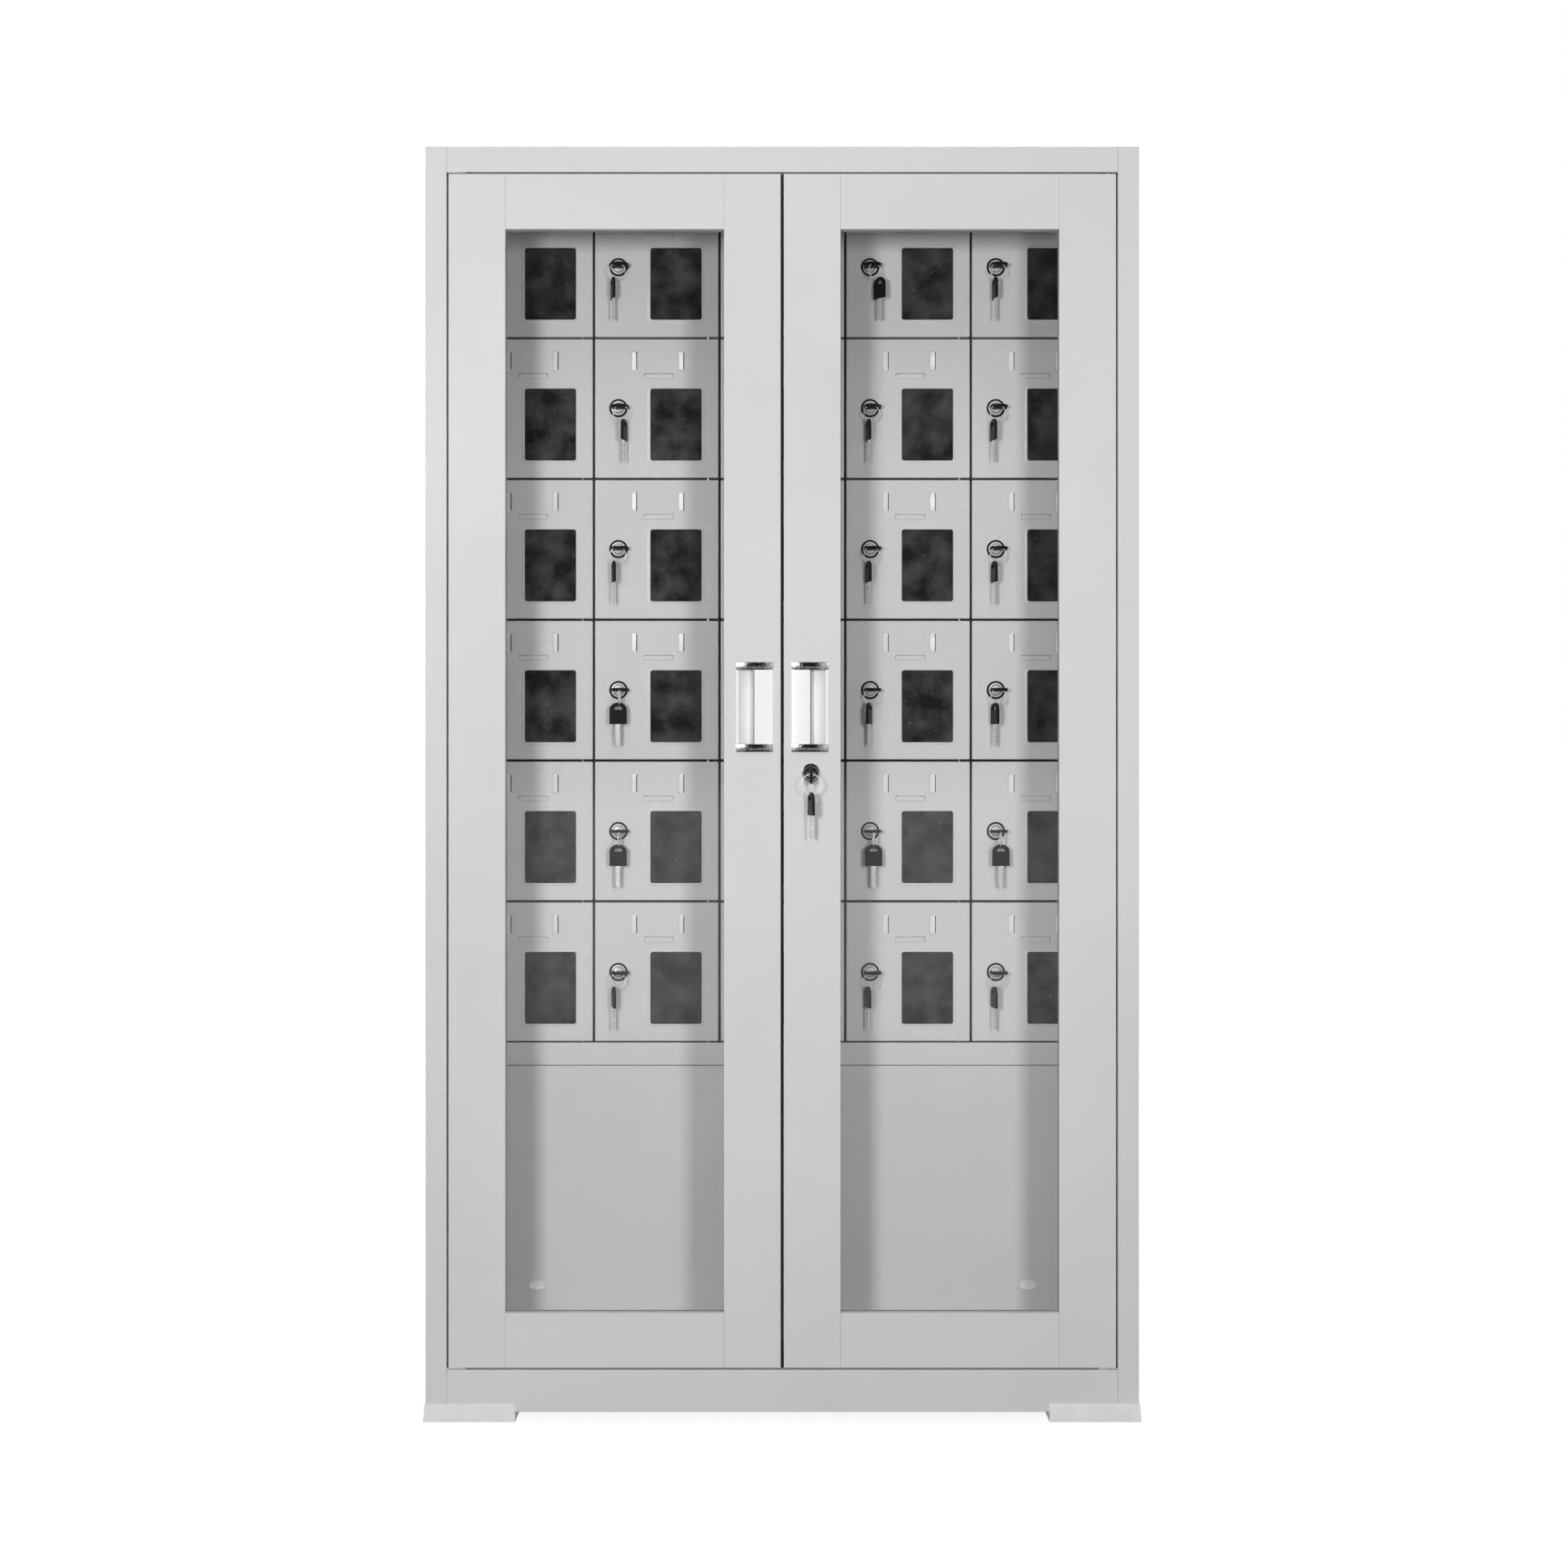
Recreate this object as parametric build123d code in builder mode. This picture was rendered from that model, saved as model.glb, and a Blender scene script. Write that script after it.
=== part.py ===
from build123d import *

import os

# A free-standing steel cabinet with two framed glass doors and a bank of small keyed phone lockers.
# Millimetres. +Z is up, the doors face -Y, and the origin is on the ground under the middle of its outline.

# Carcass
cabinet_width = 900.0
cabinet_depth = 400.0  # from the faces of the glass doors to the back
cabinet_height = 1608.0
sheet = 1.0
fold_lip = 14.0  # stiffening folds at free edges
stile_width = 26.5  # front return of a side panel
header_height = 31.6
plinth_top = 65.2
jamb_depth = 26.0
riser_gap = 1.0  # from the back of the jambs to the floor panel's riser
upstand_height = 33.0  # of the floor panel, behind the doors

# Feet
foot_height = 22.4
foot_drop = 12.3  # the carcass stands this far above the ground
foot_length = 116.0
foot_leg = 42.0
foot_overhang = 3.0
foot_wall = 1.2  # left at the top of the upstand

# Oval blanking plugs in the lower panel
plug_length = 22.0
plug_height = 11.5
plug_spacing = 664.0
plug_z = 127.0
plug_rim = 2.5  # how far it stands proud of the panel
plug_dish = 2.0  # width of its rim
plug_hollow = 1.0

# Glass doors
leaf_thickness = 20.0
opening_gap = 2.5  # round the pair of doors
meeting_gap = 4.0  # between the two doors
door_stile = 71.5
door_rail = 69.5
window_lip = 8.0
back_return = 48.0  # the stiles and rails are folded this far back over themselves
glass_thickness = 4.0
glass_bite = 9.0  # hidden in the glazing strip all round
strip_width = 14.0
strip_depth = 7.0
door_pivot_inset = 10.0
door_pivot_depth = 6.0
door_pin_radius = 3.0
pin_clearance = 0.06
pin_engagement = 12.0
bracket_width = 24.0
bracket_depth = 18.0
bracket_thickness = 1.2
catch_width = 46.0
catch_height = 14.0
catch_offset = 62.0  # from the middle of the cabinet
catch_rise = 14.0  # from the lower edge of a door to its lower catch
catch_clearance = 0.5

# Recessed pull handles
handle_width = 46.6
handle_height = 113.4
handle_offset = 35.0  # from the middle of the cabinet
handle_z = 901.5
handle_cap = 10.0
handle_flange = 2.0
handle_wall = 1.4
handle_bulge = 4.0  # how far the grip stands in front of the door
cup_depth = 13.0
cup_curve_depth = 9.8  # half way along the cup's curve
cutout_margin = 2.4

# Cam locks and keys
main_lock_x = 36.2
main_lock_z = 818.3
main_head_radius = 12.0
head_thickness = 3.0
barrel_flats = 16.0  # across the flats of the main barrel
lock_plug_radius = 5.5
lock_plug_clearance = 0.05
cam_thickness = 2.0
cam_width = 11.0
cam_overlap = 16.0  # how far the main cam reaches behind the left door
key_neck = 2.0
bow_length = 27.0
bow_width = 21.0
bow_round = 20.0  # from the shoulder to where its rounded end starts
bow_thickness = 3.0
locker_bow_tip = 14.0  # the bows of the locker keys taper to this width
eye_radius = 3.2
eye_inset = 6.0
blade_length = 31.0
blade_width = 7.0
blade_thickness = 2.2
ring_radius = 13.0
ring_wire = 1.5
hang_clearance = 0.3

# Locker bank
columns = 5
rows = 6
pitch_x = 170.0
pitch_z = 190.5
bank_setback = 187.0  # locker faces behind the door faces
bank_bottom = 455.0
board = 1.0  # shelves and dividers
cell_gap = 3.0  # between two neighbouring locker doors
rod_radius = 2.0
rail_height = 30.0
rail_return = 20.0
panel_seam = 1.0

# Locker doors
leaf_flange = 12.0
locker_pivot_inset = 14.0
locker_pivot_depth = 4.0
rod_clearance = 0.1
pane_width = 69.0
pane_height = 97.0
pane_right = 22.8  # from the right edge of the leaf
pane_bottom = 23.4
pane_thickness = 2.0
pane_overlap = 6.0
locker_lock_x = 32.0  # from the left edge of the leaf
locker_head_radius = 11.5
locker_head_sides = 12  # the small heads are faceted
locker_barrel = 15.0  # across the flats
locker_barrel_length = 16.0
locker_cam_reach = 27.0
louvre_width = 6.0
louvre_height = 27.0
louvre_top = 16.0  # from the top edge of the leaf
louvre_rise = 2.0  # how far the hoods stand proud of the leaf
louvre_x = (55.3, 118.9)  # middles of the two upright louvres, from the left edge of the leaf
long_louvre_width = 40.0
long_louvre_height = 7.0
long_louvre_x = 86.5
long_louvre_top = 46.5
keeper_width = 12.0
keeper_height = 30.0
keeper_sheet = 1.5
keeper_clearance = 0.3

# Where the main planes and lines lie
eye_reach = head_thickness + key_neck + bow_length - eye_inset
front_reach = eye_reach + bow_width / 2
front = (front_reach - cabinet_depth - foot_overhang) / 2
back = front + cabinet_depth
half_width = cabinet_width / 2
inner_half = half_width - sheet
opening_half = half_width - stile_width
opening_top = cabinet_height - header_height
roof = cabinet_height - sheet
jamb_back = front + jamb_depth
back_sheet = back - 2 * sheet
floor_top = plinth_top + sheet
riser_face = jamb_back + riser_gap
bank_front = front + bank_setback
bank_half = columns * pitch_x / 2
bank_top = bank_bottom + rows * pitch_z
board_front = bank_front + locker_pivot_depth + rod_radius
leaf_top = opening_top - opening_gap
leaf_bottom = plinth_top + opening_gap
leaf_outer = opening_half - opening_gap
leaf_inner = meeting_gap / 2
leaf_back = front + leaf_thickness
door_pivot_x = leaf_outer - door_pivot_inset
door_pivot_y = front + door_pivot_depth
window_outer = leaf_outer - door_stile
window_inner = leaf_inner + door_stile
window_top = leaf_top - door_rail
window_bottom = leaf_bottom + door_rail
strip_front = front + window_lip


def fold(plane, points, inward):
    """The section of a sheet with square folds. The points lie on its outer face, and the sheet is on their
    left when inward is 1 and on their right when it is -1."""
    outer = [Vector(*point) for point in points]
    steps = [(end - start).normalized() * sheet * inward for start, end in zip(outer, outer[1:])]
    across = [Vector(-step.Y, step.X) for step in steps]
    none = Vector(0, 0)
    inner = [point + a + b for point, a, b in zip(outer, [none, *across], [*across, none])]
    with BuildSketch(plane) as section:
        with BuildLine():
            Polyline(*outer, *reversed(inner), close=True)
        make_face()
    return section.sketch


def rectangle(plane, low, high):
    """A rectangle between two corners, in the plane's own coordinates."""
    with BuildSketch(plane) as area:
        with Locations(((low[0] + high[0]) / 2, (low[1] + high[1]) / 2)):
            Rectangle(high[0] - low[0], high[1] - low[1])
    return area.sketch


def facing(y):
    """The plane at y seen from the front: its x is +X, its y is +Z and it looks towards -Y."""
    return Plane.XZ.offset(-y)


def save(node, *pieces):
    """Writes the pieces of one node, each piece as a solid of its own."""
    if len(pieces) == 1:
        shape = pieces[0]
        shape.label = node
    else:
        shape = Compound(label=node, children=list(pieces))
    export_step(shape, "parts/" + node + ".step")


os.makedirs("parts", exist_ok=True)

# Carcass: side panels, each folded round the front corner into a door jamb, with a flange at the back
for side_name, hand in (("left", -1), ("right", 1)):
    with BuildPart() as side_panel:
        extrude(
            fold(
                Plane.XY.offset(foot_drop),
                [
                    (hand * (half_width - fold_lip), back),
                    (hand * half_width, back),
                    (hand * half_width, front),
                    (hand * opening_half, front),
                    (hand * opening_half, jamb_back),
                    (hand * (opening_half + fold_lip), jamb_back),
                ],
                -hand,
            ),
            amount=roof - foot_drop,
        )
    save("side_panel_" + side_name, side_panel.part)

# Top panel: the roof sheet, folded down at the front into the header over the doors
with BuildPart() as top_panel:
    extrude(
        fold(
            Plane.YZ.offset(-opening_half),
            [
                (jamb_back, opening_top + fold_lip),
                (jamb_back, opening_top),
                (front, opening_top),
                (front, cabinet_height),
                (back, cabinet_height),
            ],
            -1,
        ),
        amount=2 * opening_half,
    )
    extrude(rectangle(Plane.XY.offset(roof), (-half_width, front), (half_width, back)), amount=sheet)
save("top_panel", top_panel.part)

# Plinth rail: the apron under the doors, folded back into the ledge that carries the lower door pivots
with BuildPart() as plinth_rail:
    extrude(
        fold(
            Plane.YZ.offset(-opening_half),
            [
                (jamb_back, foot_drop),
                (front, foot_drop),
                (front, plinth_top),
                (riser_face + sheet, plinth_top),
            ],
            -1,
        ),
        amount=2 * opening_half,
    )
save("plinth_rail", plinth_rail.part)

# Floor panel: a tray that rests on the plinth's ledge, with an upstand behind the doors
with BuildPart() as floor_panel:
    extrude(
        fold(
            Plane.YZ.offset(-inner_half),
            [
                (riser_face + fold_lip, plinth_top + upstand_height),
                (riser_face, plinth_top + upstand_height),
                (riser_face, plinth_top),
                (back_sheet, plinth_top),
                (back_sheet, plinth_top + fold_lip),
            ],
            1,
        ),
        amount=2 * inner_half,
    )
save("floor_panel", floor_panel.part)

with BuildPart() as back_panel:
    extrude(rectangle(facing(back_sheet), (-inner_half, foot_drop), (inner_half, roof)), amount=-sheet)
save("back_panel", back_panel.part)

# Corner feet: L-shaped shoes, wider at the ground, with a thin upstand round the outside of the carcass
with BuildPart() as foot:
    with BuildSketch(Plane.XY) as foot_plan:
        with BuildLine():
            Polyline(
                (0, 0),
                (foot_length, 0),
                (foot_length, foot_leg),
                (foot_leg, foot_leg),
                (foot_leg, foot_length),
                (0, foot_length),
                close=True,
            )
        make_face()
    with BuildSketch(Plane.XY.offset(foot_height)) as foot_rim:
        with BuildLine():
            Polyline(
                (foot_overhang - foot_wall, foot_overhang - foot_wall),
                (foot_length, foot_overhang - foot_wall),
                (foot_length, foot_leg),
                (foot_leg, foot_leg),
                (foot_leg, foot_length),
                (foot_overhang - foot_wall, foot_length),
                close=True,
            )
        make_face()
    loft(ruled=True)
    with BuildSketch(Plane.XY.offset(foot_drop)) as foot_seat:
        with Locations((foot_overhang, foot_overhang)):
            Rectangle(foot_length, foot_length, align=(Align.MIN, Align.MIN))
    extrude(amount=foot_height - foot_drop, mode=Mode.SUBTRACT)
foot_corner = Location((-half_width - foot_overhang, front - foot_overhang, 0))
left_front_foot = foot_corner * foot.part
right_front_foot = mirror(left_front_foot, about=Plane.YZ, mode=Mode.PRIVATE)
across = Plane.XZ.offset(-(front + back) / 2)
save(
    "corner_feet",
    left_front_foot,
    right_front_foot,
    mirror(left_front_foot, about=across, mode=Mode.PRIVATE),
    mirror(right_front_foot, about=across, mode=Mode.PRIVATE),
)

# Locker bank: unbroken shelves, and dividers welded between them row by row
shelf_lines = [bank_bottom + n * pitch_z for n in range(rows + 1)]
divider_lines = [-bank_half + n * pitch_x for n in range(columns + 1)]
shelves = []
for z in shelf_lines:
    with BuildPart() as shelf:
        extrude(
            rectangle(
                Plane.XY.offset(z - board / 2),
                (-bank_half - board / 2, board_front),
                (bank_half + board / 2, back_sheet),
            ),
            amount=board,
        )
    shelves.append(shelf.part)
save("locker_shelves", *shelves)

dividers = []
for x in divider_lines:
    for z in shelf_lines[:-1]:
        with BuildPart() as divider:
            extrude(
                rectangle(
                    Plane.YZ.offset(x - board / 2),
                    (board_front, z + board / 2),
                    (back_sheet, z + pitch_z - board / 2),
                ),
                amount=board,
            )
        dividers.append(divider.part)
save("locker_dividers", *dividers)

# Hinge rods: one for each column, welded to the front edges of the shelves, on which the locker doors turn
rods = []
for x in divider_lines[1:]:
    with BuildPart() as rod:
        with BuildSketch(Plane.XY.offset(bank_bottom - board / 2)):
            with Locations((x - cell_gap / 2 - locker_pivot_inset, bank_front + locker_pivot_depth)):
                Circle(rod_radius)
        extrude(amount=bank_top - bank_bottom + board)
    rods.append(rod.part)
save("locker_hinge_rods", *rods)

# Latch keepers: small plates welded to the dividers, which stop each locker door and hold its cam
keepers = []
keeper_y = bank_front + leaf_flange + keeper_clearance
for x in divider_lines[:-1]:
    for z in shelf_lines[:-1]:
        with BuildPart() as keeper:
            extrude(
                rectangle(
                    Plane.XY.offset(z + (pitch_z - keeper_height) / 2),
                    (x + board / 2, keeper_y),
                    (x + board / 2 + keeper_width, keeper_y + keeper_sheet),
                ),
                amount=keeper_height,
            )
        keepers.append(keeper.part)
save("latch_keepers", *keepers)

# Trim round the bank: filler strips at both sides and over the top, and the rail under it
fillers = []
for hand in (-1, 1):
    with BuildPart() as filler:
        extrude(
            fold(
                Plane.XY.offset(bank_bottom - board / 2),
                [
                    (hand * inner_half, bank_front),
                    (hand * (bank_half + board / 2), bank_front),
                    (hand * (bank_half + board / 2), bank_front + fold_lip),
                ],
                -hand,
            ),
            amount=roof - bank_bottom + board / 2,
        )
    fillers.append(filler.part)
with BuildPart() as top_filler:
    extrude(
        fold(
            Plane.YZ.offset(-bank_half - board / 2),
            [
                (bank_front + fold_lip, bank_top + board / 2),
                (bank_front, bank_top + board / 2),
                (bank_front, roof),
            ],
            -1,
        ),
        amount=2 * bank_half + board,
    )
save("locker_fillers", *fillers, top_filler.part)

rail_top = bank_bottom - board / 2
with BuildPart() as bank_rail:
    extrude(
        fold(
            Plane.YZ.offset(-inner_half),
            [
                (bank_front + fold_lip, rail_top - rail_height),
                (bank_front, rail_top - rail_height),
                (bank_front, rail_top),
                (bank_front + rail_return, rail_top),
            ],
            -1,
        ),
        amount=2 * inner_half,
    )
save("locker_bottom_rail", bank_rail.part)

# Lower panel: closes the space under the bank and stands on the raised floor
with BuildPart() as lower_panel:
    extrude(
        fold(
            Plane.YZ.offset(-inner_half),
            [
                (bank_front + fold_lip, floor_top),
                (bank_front, floor_top),
                (bank_front, rail_top - rail_height - panel_seam),
                (bank_front + fold_lip, rail_top - rail_height - panel_seam),
            ],
            -1,
        ),
        amount=2 * inner_half,
    )
save("lower_panel", lower_panel.part)

# Blanking plugs: two dished ovals pressed into the lower panel, near its bottom corners
plugs = []
for x in (-plug_spacing / 2, plug_spacing / 2):
    with BuildPart() as blanking_plug:
        with BuildSketch(facing(bank_front)):
            with Locations((x, plug_z)):
                SlotOverall(plug_length, plug_height)
        extrude(amount=plug_rim)
        with BuildSketch(facing(bank_front - plug_rim)):
            with Locations((x, plug_z)):
                SlotOverall(plug_length - 2 * plug_dish, plug_height - 2 * plug_dish)
        extrude(amount=-plug_hollow, mode=Mode.SUBTRACT)
    plugs.append(blanking_plug.part)
save("blanking_plugs", *plugs)

# Door pivot brackets: a plate with a fixed pin at the top and the bottom of each glass door
brackets = []
foot_plate = opening_gap - 2 * pin_clearance  # the lower plates carry the doors
for hand in (-1, 1):
    for seat, thickness, up in ((opening_top, bracket_thickness, -1), (plinth_top, foot_plate, 1)):
        pin_centre = (hand * door_pivot_x, door_pivot_y)
        plate_x = hand * (opening_half - bracket_width / 2)
        with BuildPart() as bracket:
            with BuildSketch(Plane.XY.offset(seat)):
                with Locations((plate_x, front + sheet + bracket_depth / 2)):
                    Rectangle(bracket_width, bracket_depth)
            extrude(amount=up * thickness)
            with BuildSketch(Plane.XY.offset(seat)):
                with Locations(pin_centre):
                    Circle(door_pin_radius)
            extrude(amount=up * (opening_gap + pin_engagement))
        brackets.append(bracket.part)
save("door_pivot_brackets", *brackets)

# Magnet catches: on the header's fold and on the floor's upstand, just behind the free corners of the doors
catches = []
for hand in (-1, 1):
    for low in (opening_top - catch_height, leaf_bottom + catch_rise):
        with BuildPart() as catch:
            extrude(
                rectangle(
                    facing(leaf_back + catch_clearance),
                    (hand * catch_offset - catch_width / 2, low),
                    (hand * catch_offset + catch_width / 2, low + catch_height),
                ),
                amount=leaf_back + catch_clearance - riser_face,
            )
        catches.append(catch.part)
save("magnet_catches", *catches)


# Glass doors: two full-height stiles with the rails between them, each a channel closed over at the back
def stile(outer, inner, pivot):
    """An upright of a door frame, from its free edge at outer to the window at inner."""
    way = 1 if inner > outer else -1
    with BuildPart() as upright:
        extrude(
            fold(
                Plane.XY.offset(leaf_bottom),
                [
                    (outer + way * back_return, leaf_back),
                    (outer, leaf_back),
                    (outer, front),
                    (inner, front),
                    (inner, strip_front),
                ],
                way,
            ),
            amount=leaf_top - leaf_bottom,
        )
        for z in (leaf_bottom, leaf_top - sheet):
            extrude(
                rectangle(Plane.XY.offset(z), (min(outer, inner), front), (max(outer, inner), strip_front)),
                amount=sheet,
            )
            extrude(
                rectangle(
                    Plane.XY.offset(z),
                    (min(outer, outer + way * back_return), front),
                    (max(outer, outer + way * back_return), leaf_back),
                ),
                amount=sheet,
            )
        if pivot:
            with BuildSketch(Plane.XY.offset(leaf_bottom)):
                with Locations((outer + way * door_pivot_inset, door_pivot_y)):
                    Circle(door_pin_radius + pin_clearance)
            extrude(amount=leaf_top - leaf_bottom, mode=Mode.SUBTRACT)
        else:
            cut_x = handle_offset if outer > 0 else -handle_offset
            with BuildSketch(facing(front)):
                with Locations((cut_x, handle_z)):
                    Rectangle(handle_width - 2 * cutout_margin, handle_height - 2 * cutout_margin)
                if outer > 0:
                    with Locations((main_lock_x, main_lock_z)):
                        Rectangle(barrel_flats, barrel_flats)
            extrude(amount=-sheet, mode=Mode.SUBTRACT)
            if outer > 0:
                with BuildSketch(facing(leaf_back)):
                    with Locations((main_lock_x, main_lock_z)):
                        Rectangle(barrel_flats, barrel_flats)
                extrude(amount=sheet, mode=Mode.SUBTRACT)
    return upright.part


def rail(left, right, outer, inner):
    """A cross member of a door frame, from its free edge at outer to the window at inner."""
    way = 1 if inner > outer else -1
    with BuildPart() as member:
        extrude(
            fold(
                Plane.YZ.offset(left),
                [
                    (leaf_back, outer + way * back_return),
                    (leaf_back, outer),
                    (front, outer),
                    (front, inner),
                    (strip_front, inner),
                ],
                -way,
            ),
            amount=right - left,
        )
    return member.part


def glazing(left, right):
    """A channel strip round the glass, as four bars with a groove for its edge, and the glass itself."""
    groove_front = strip_front + (strip_depth - glass_thickness) / 2
    groove_back = groove_front + glass_thickness
    strip_back = strip_front + strip_depth
    bars = []
    for upright, outer, inner, low, high in (
        (True, left - strip_width, left, window_bottom - strip_width, window_top + strip_width),
        (True, right + strip_width, right, window_bottom - strip_width, window_top + strip_width),
        (False, window_bottom - strip_width, window_bottom, left, right),
        (False, window_top + strip_width, window_top, left, right),
    ):
        way = 1 if inner > outer else -1
        groove = inner - way * glass_bite
        profile = [
            (outer, strip_front),
            (inner, strip_front),
            (inner, groove_front),
            (groove, groove_front),
            (groove, groove_back),
            (inner, groove_back),
            (inner, strip_back),
            (outer, strip_back),
        ]
        if not upright:
            profile = [(y, z) for z, y in profile]
        with BuildPart() as bar:
            with BuildSketch((Plane.XY if upright else Plane.YZ).offset(low)):
                with BuildLine():
                    Polyline(*profile, close=True)
                make_face()
            extrude(amount=high - low)
        bars.append(bar.part)
    with BuildPart() as glass:
        extrude(
            rectangle(
                facing(groove_front),
                (left - glass_bite, window_bottom - glass_bite),
                (right + glass_bite, window_top + glass_bite),
            ),
            amount=-glass_thickness,
        )
    return bars, glass.part


def pull_handle(hand):
    """A recessed pull: an extruded cup with a curved grip over the half nearest the meeting edge."""
    half = handle_width / 2
    lip = front - handle_flange
    cup_edge = half - cutout_margin
    floor = front + cup_depth
    with BuildPart() as body:
        with BuildSketch(Plane.XY.offset(handle_z - handle_height / 2 + handle_cap)):
            with BuildLine():
                Polyline((0, front - handle_bulge), (0, lip), (0, lip + handle_wall))
                ThreePointArc(
                    (0, lip + handle_wall),
                    (cup_edge / 2, lip),
                    (cup_edge - handle_wall, lip + 2 * handle_wall),
                )
                Polyline(
                    (cup_edge - handle_wall, lip + 2 * handle_wall),
                    (cup_edge - handle_wall, floor - handle_wall),
                    (0, floor - handle_wall),
                )
                ThreePointArc(
                    (0, floor - handle_wall),
                    (-cup_edge / 2, front + cup_curve_depth - handle_wall),
                    (-cup_edge + handle_wall, front),
                )
                Polyline(
                    (-cup_edge + handle_wall, front),
                    (-cup_edge + handle_wall, lip),
                    (-half, lip),
                    (-half, front),
                    (-cup_edge, front),
                )
                ThreePointArc(
                    (-cup_edge, front),
                    (-cup_edge / 2, front + cup_curve_depth + handle_wall / 2),
                    (0, floor),
                )
                Polyline(
                    (0, floor),
                    (cup_edge, floor),
                    (cup_edge, front),
                    (half, front),
                    (half, lip),
                )
                ThreePointArc((half, lip), (half / 2, front - handle_bulge), (0, front - handle_bulge))
            make_face()
        extrude(amount=handle_height - 2 * handle_cap)
    caps = []
    for low in (handle_z - handle_height / 2, handle_z + handle_height / 2 - handle_cap):
        with BuildPart() as cap:
            with BuildSketch(Plane.XY.offset(low)):
                with BuildLine():
                    Polyline((-half, front), (-half, lip))
                    ThreePointArc((-half, lip), (0, front - handle_bulge - handle_wall), (half, lip))
                    Polyline((half, lip), (half, front), (-half, front))
                make_face()
            extrude(amount=handle_cap)
            inner_end = low + handle_cap if low < handle_z else low
            with BuildSketch(Plane.XY.offset(inner_end)):
                with Locations((0, front + cup_depth / 2)):
                    Rectangle(2 * cup_edge, cup_depth)
            extrude(amount=(cutout_margin - handle_cap) * (1 if low < handle_z else -1))
        caps.append(cap.part)
    pieces = [body.part, *caps]
    place = Location((handle_offset, 0, 0))
    if hand > 0:
        pieces = [mirror(piece, about=Plane.YZ, mode=Mode.PRIVATE) for piece in pieces]
        return [place * piece for piece in pieces]
    return [place.inverse() * piece for piece in pieces]


for side_name, hand in (("left", -1), ("right", 1)):
    near, far = sorted((hand * window_inner, hand * window_outer))
    save(
        side_name + "_door_frame",
        stile(hand * leaf_outer, hand * window_outer, True),
        stile(hand * leaf_inner, hand * window_inner, False),
        rail(near, far, leaf_bottom, window_bottom),
        rail(near, far, leaf_top, window_top),
    )
    strip_bars, glass_pane = glazing(near, far)
    save(side_name + "_door_glazing_strip", *strip_bars)
    save(side_name + "_door_glass", glass_pane)
    save(side_name + "_door_handle", *pull_handle(hand))

# Main lock: a barrel fixed in the right door, and a plug with its cam that turns with the key
lock_centre = (main_lock_x, main_lock_z)
plug_back = leaf_back + sheet
with BuildPart() as main_barrel:
    with BuildSketch(facing(front - head_thickness)):
        with Locations(lock_centre):
            Circle(main_head_radius)
    extrude(amount=-head_thickness)
    with BuildSketch(facing(front)):
        with Locations(lock_centre):
            Rectangle(barrel_flats, barrel_flats)
    extrude(amount=-leaf_thickness)
    with BuildSketch(facing(front - head_thickness)):
        with Locations(lock_centre):
            Circle(lock_plug_radius + lock_plug_clearance)
    extrude(amount=-leaf_thickness - head_thickness, mode=Mode.SUBTRACT)
save("main_lock_barrel", main_barrel.part)

main_cam_reach = main_lock_x + leaf_inner + cam_overlap
with BuildPart() as main_plug:
    with BuildSketch(facing(front - head_thickness)):
        with Locations(lock_centre):
            Circle(lock_plug_radius)
    extrude(amount=front - head_thickness - plug_back)
    with BuildSketch(facing(plug_back)):
        with Locations(lock_centre):
            Circle(cam_width / 2)
        with Locations((main_lock_x, main_lock_z - main_cam_reach / 2)):
            Rectangle(cam_width, main_cam_reach)
    extrude(amount=-cam_thickness)
save("main_lock_plug", main_plug.part)


def key(plane, shank):
    """A flat key with a rounded bow. The plane's x runs from the blade to the tip of the bow."""
    with BuildPart() as flat_key:
        with BuildSketch(plane):
            with BuildLine():
                Polyline(
                    (bow_round, bow_width / 2),
                    (0, bow_width / 2),
                    (0, -bow_width / 2),
                    (bow_round, -bow_width / 2),
                )
                ThreePointArc((bow_round, -bow_width / 2), (bow_length, 0), (bow_round, bow_width / 2))
            make_face()
            with Locations((bow_length - eye_inset, 0)):
                Circle(eye_radius, mode=Mode.SUBTRACT)
        extrude(amount=bow_thickness / 2, both=True)
        with BuildSketch(plane):
            with Locations((-shank / 2, 0)):
                Rectangle(shank, blade_width)
        extrude(amount=blade_thickness / 2, both=True)
    return flat_key.part


bow_front = front - head_thickness - key_neck
save(
    "main_key",
    key(Plane(origin=(main_lock_x, bow_front, main_lock_z), x_dir=(0, -1, 0), z_dir=(1, 0, 0)), key_neck),
)

# Spare key: hangs on a ring through the eye of the key that is in the lock
eye_y = front - eye_reach
ring_top = main_lock_z - eye_radius + hang_clearance + ring_wire / 2
ring_bottom = ring_top - 2 * ring_radius
spare_eye = ring_bottom + ring_wire / 2 + hang_clearance - eye_radius
with BuildPart() as key_ring:
    with BuildSketch(facing(eye_y - ring_wire / 2)):
        with Locations((main_lock_x, ring_top - ring_radius)):
            Circle(ring_radius + ring_wire / 2)
            Circle(ring_radius - ring_wire / 2, mode=Mode.SUBTRACT)
    extrude(amount=-ring_wire)
spare_shoulder = (main_lock_x, eye_y, spare_eye - bow_length + eye_inset)
save(
    "main_spare_key",
    key_ring.part,
    key(Plane(origin=spare_shoulder, x_dir=(0, 0, 1), z_dir=(1, 0, 0)), blade_length),
)

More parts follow.
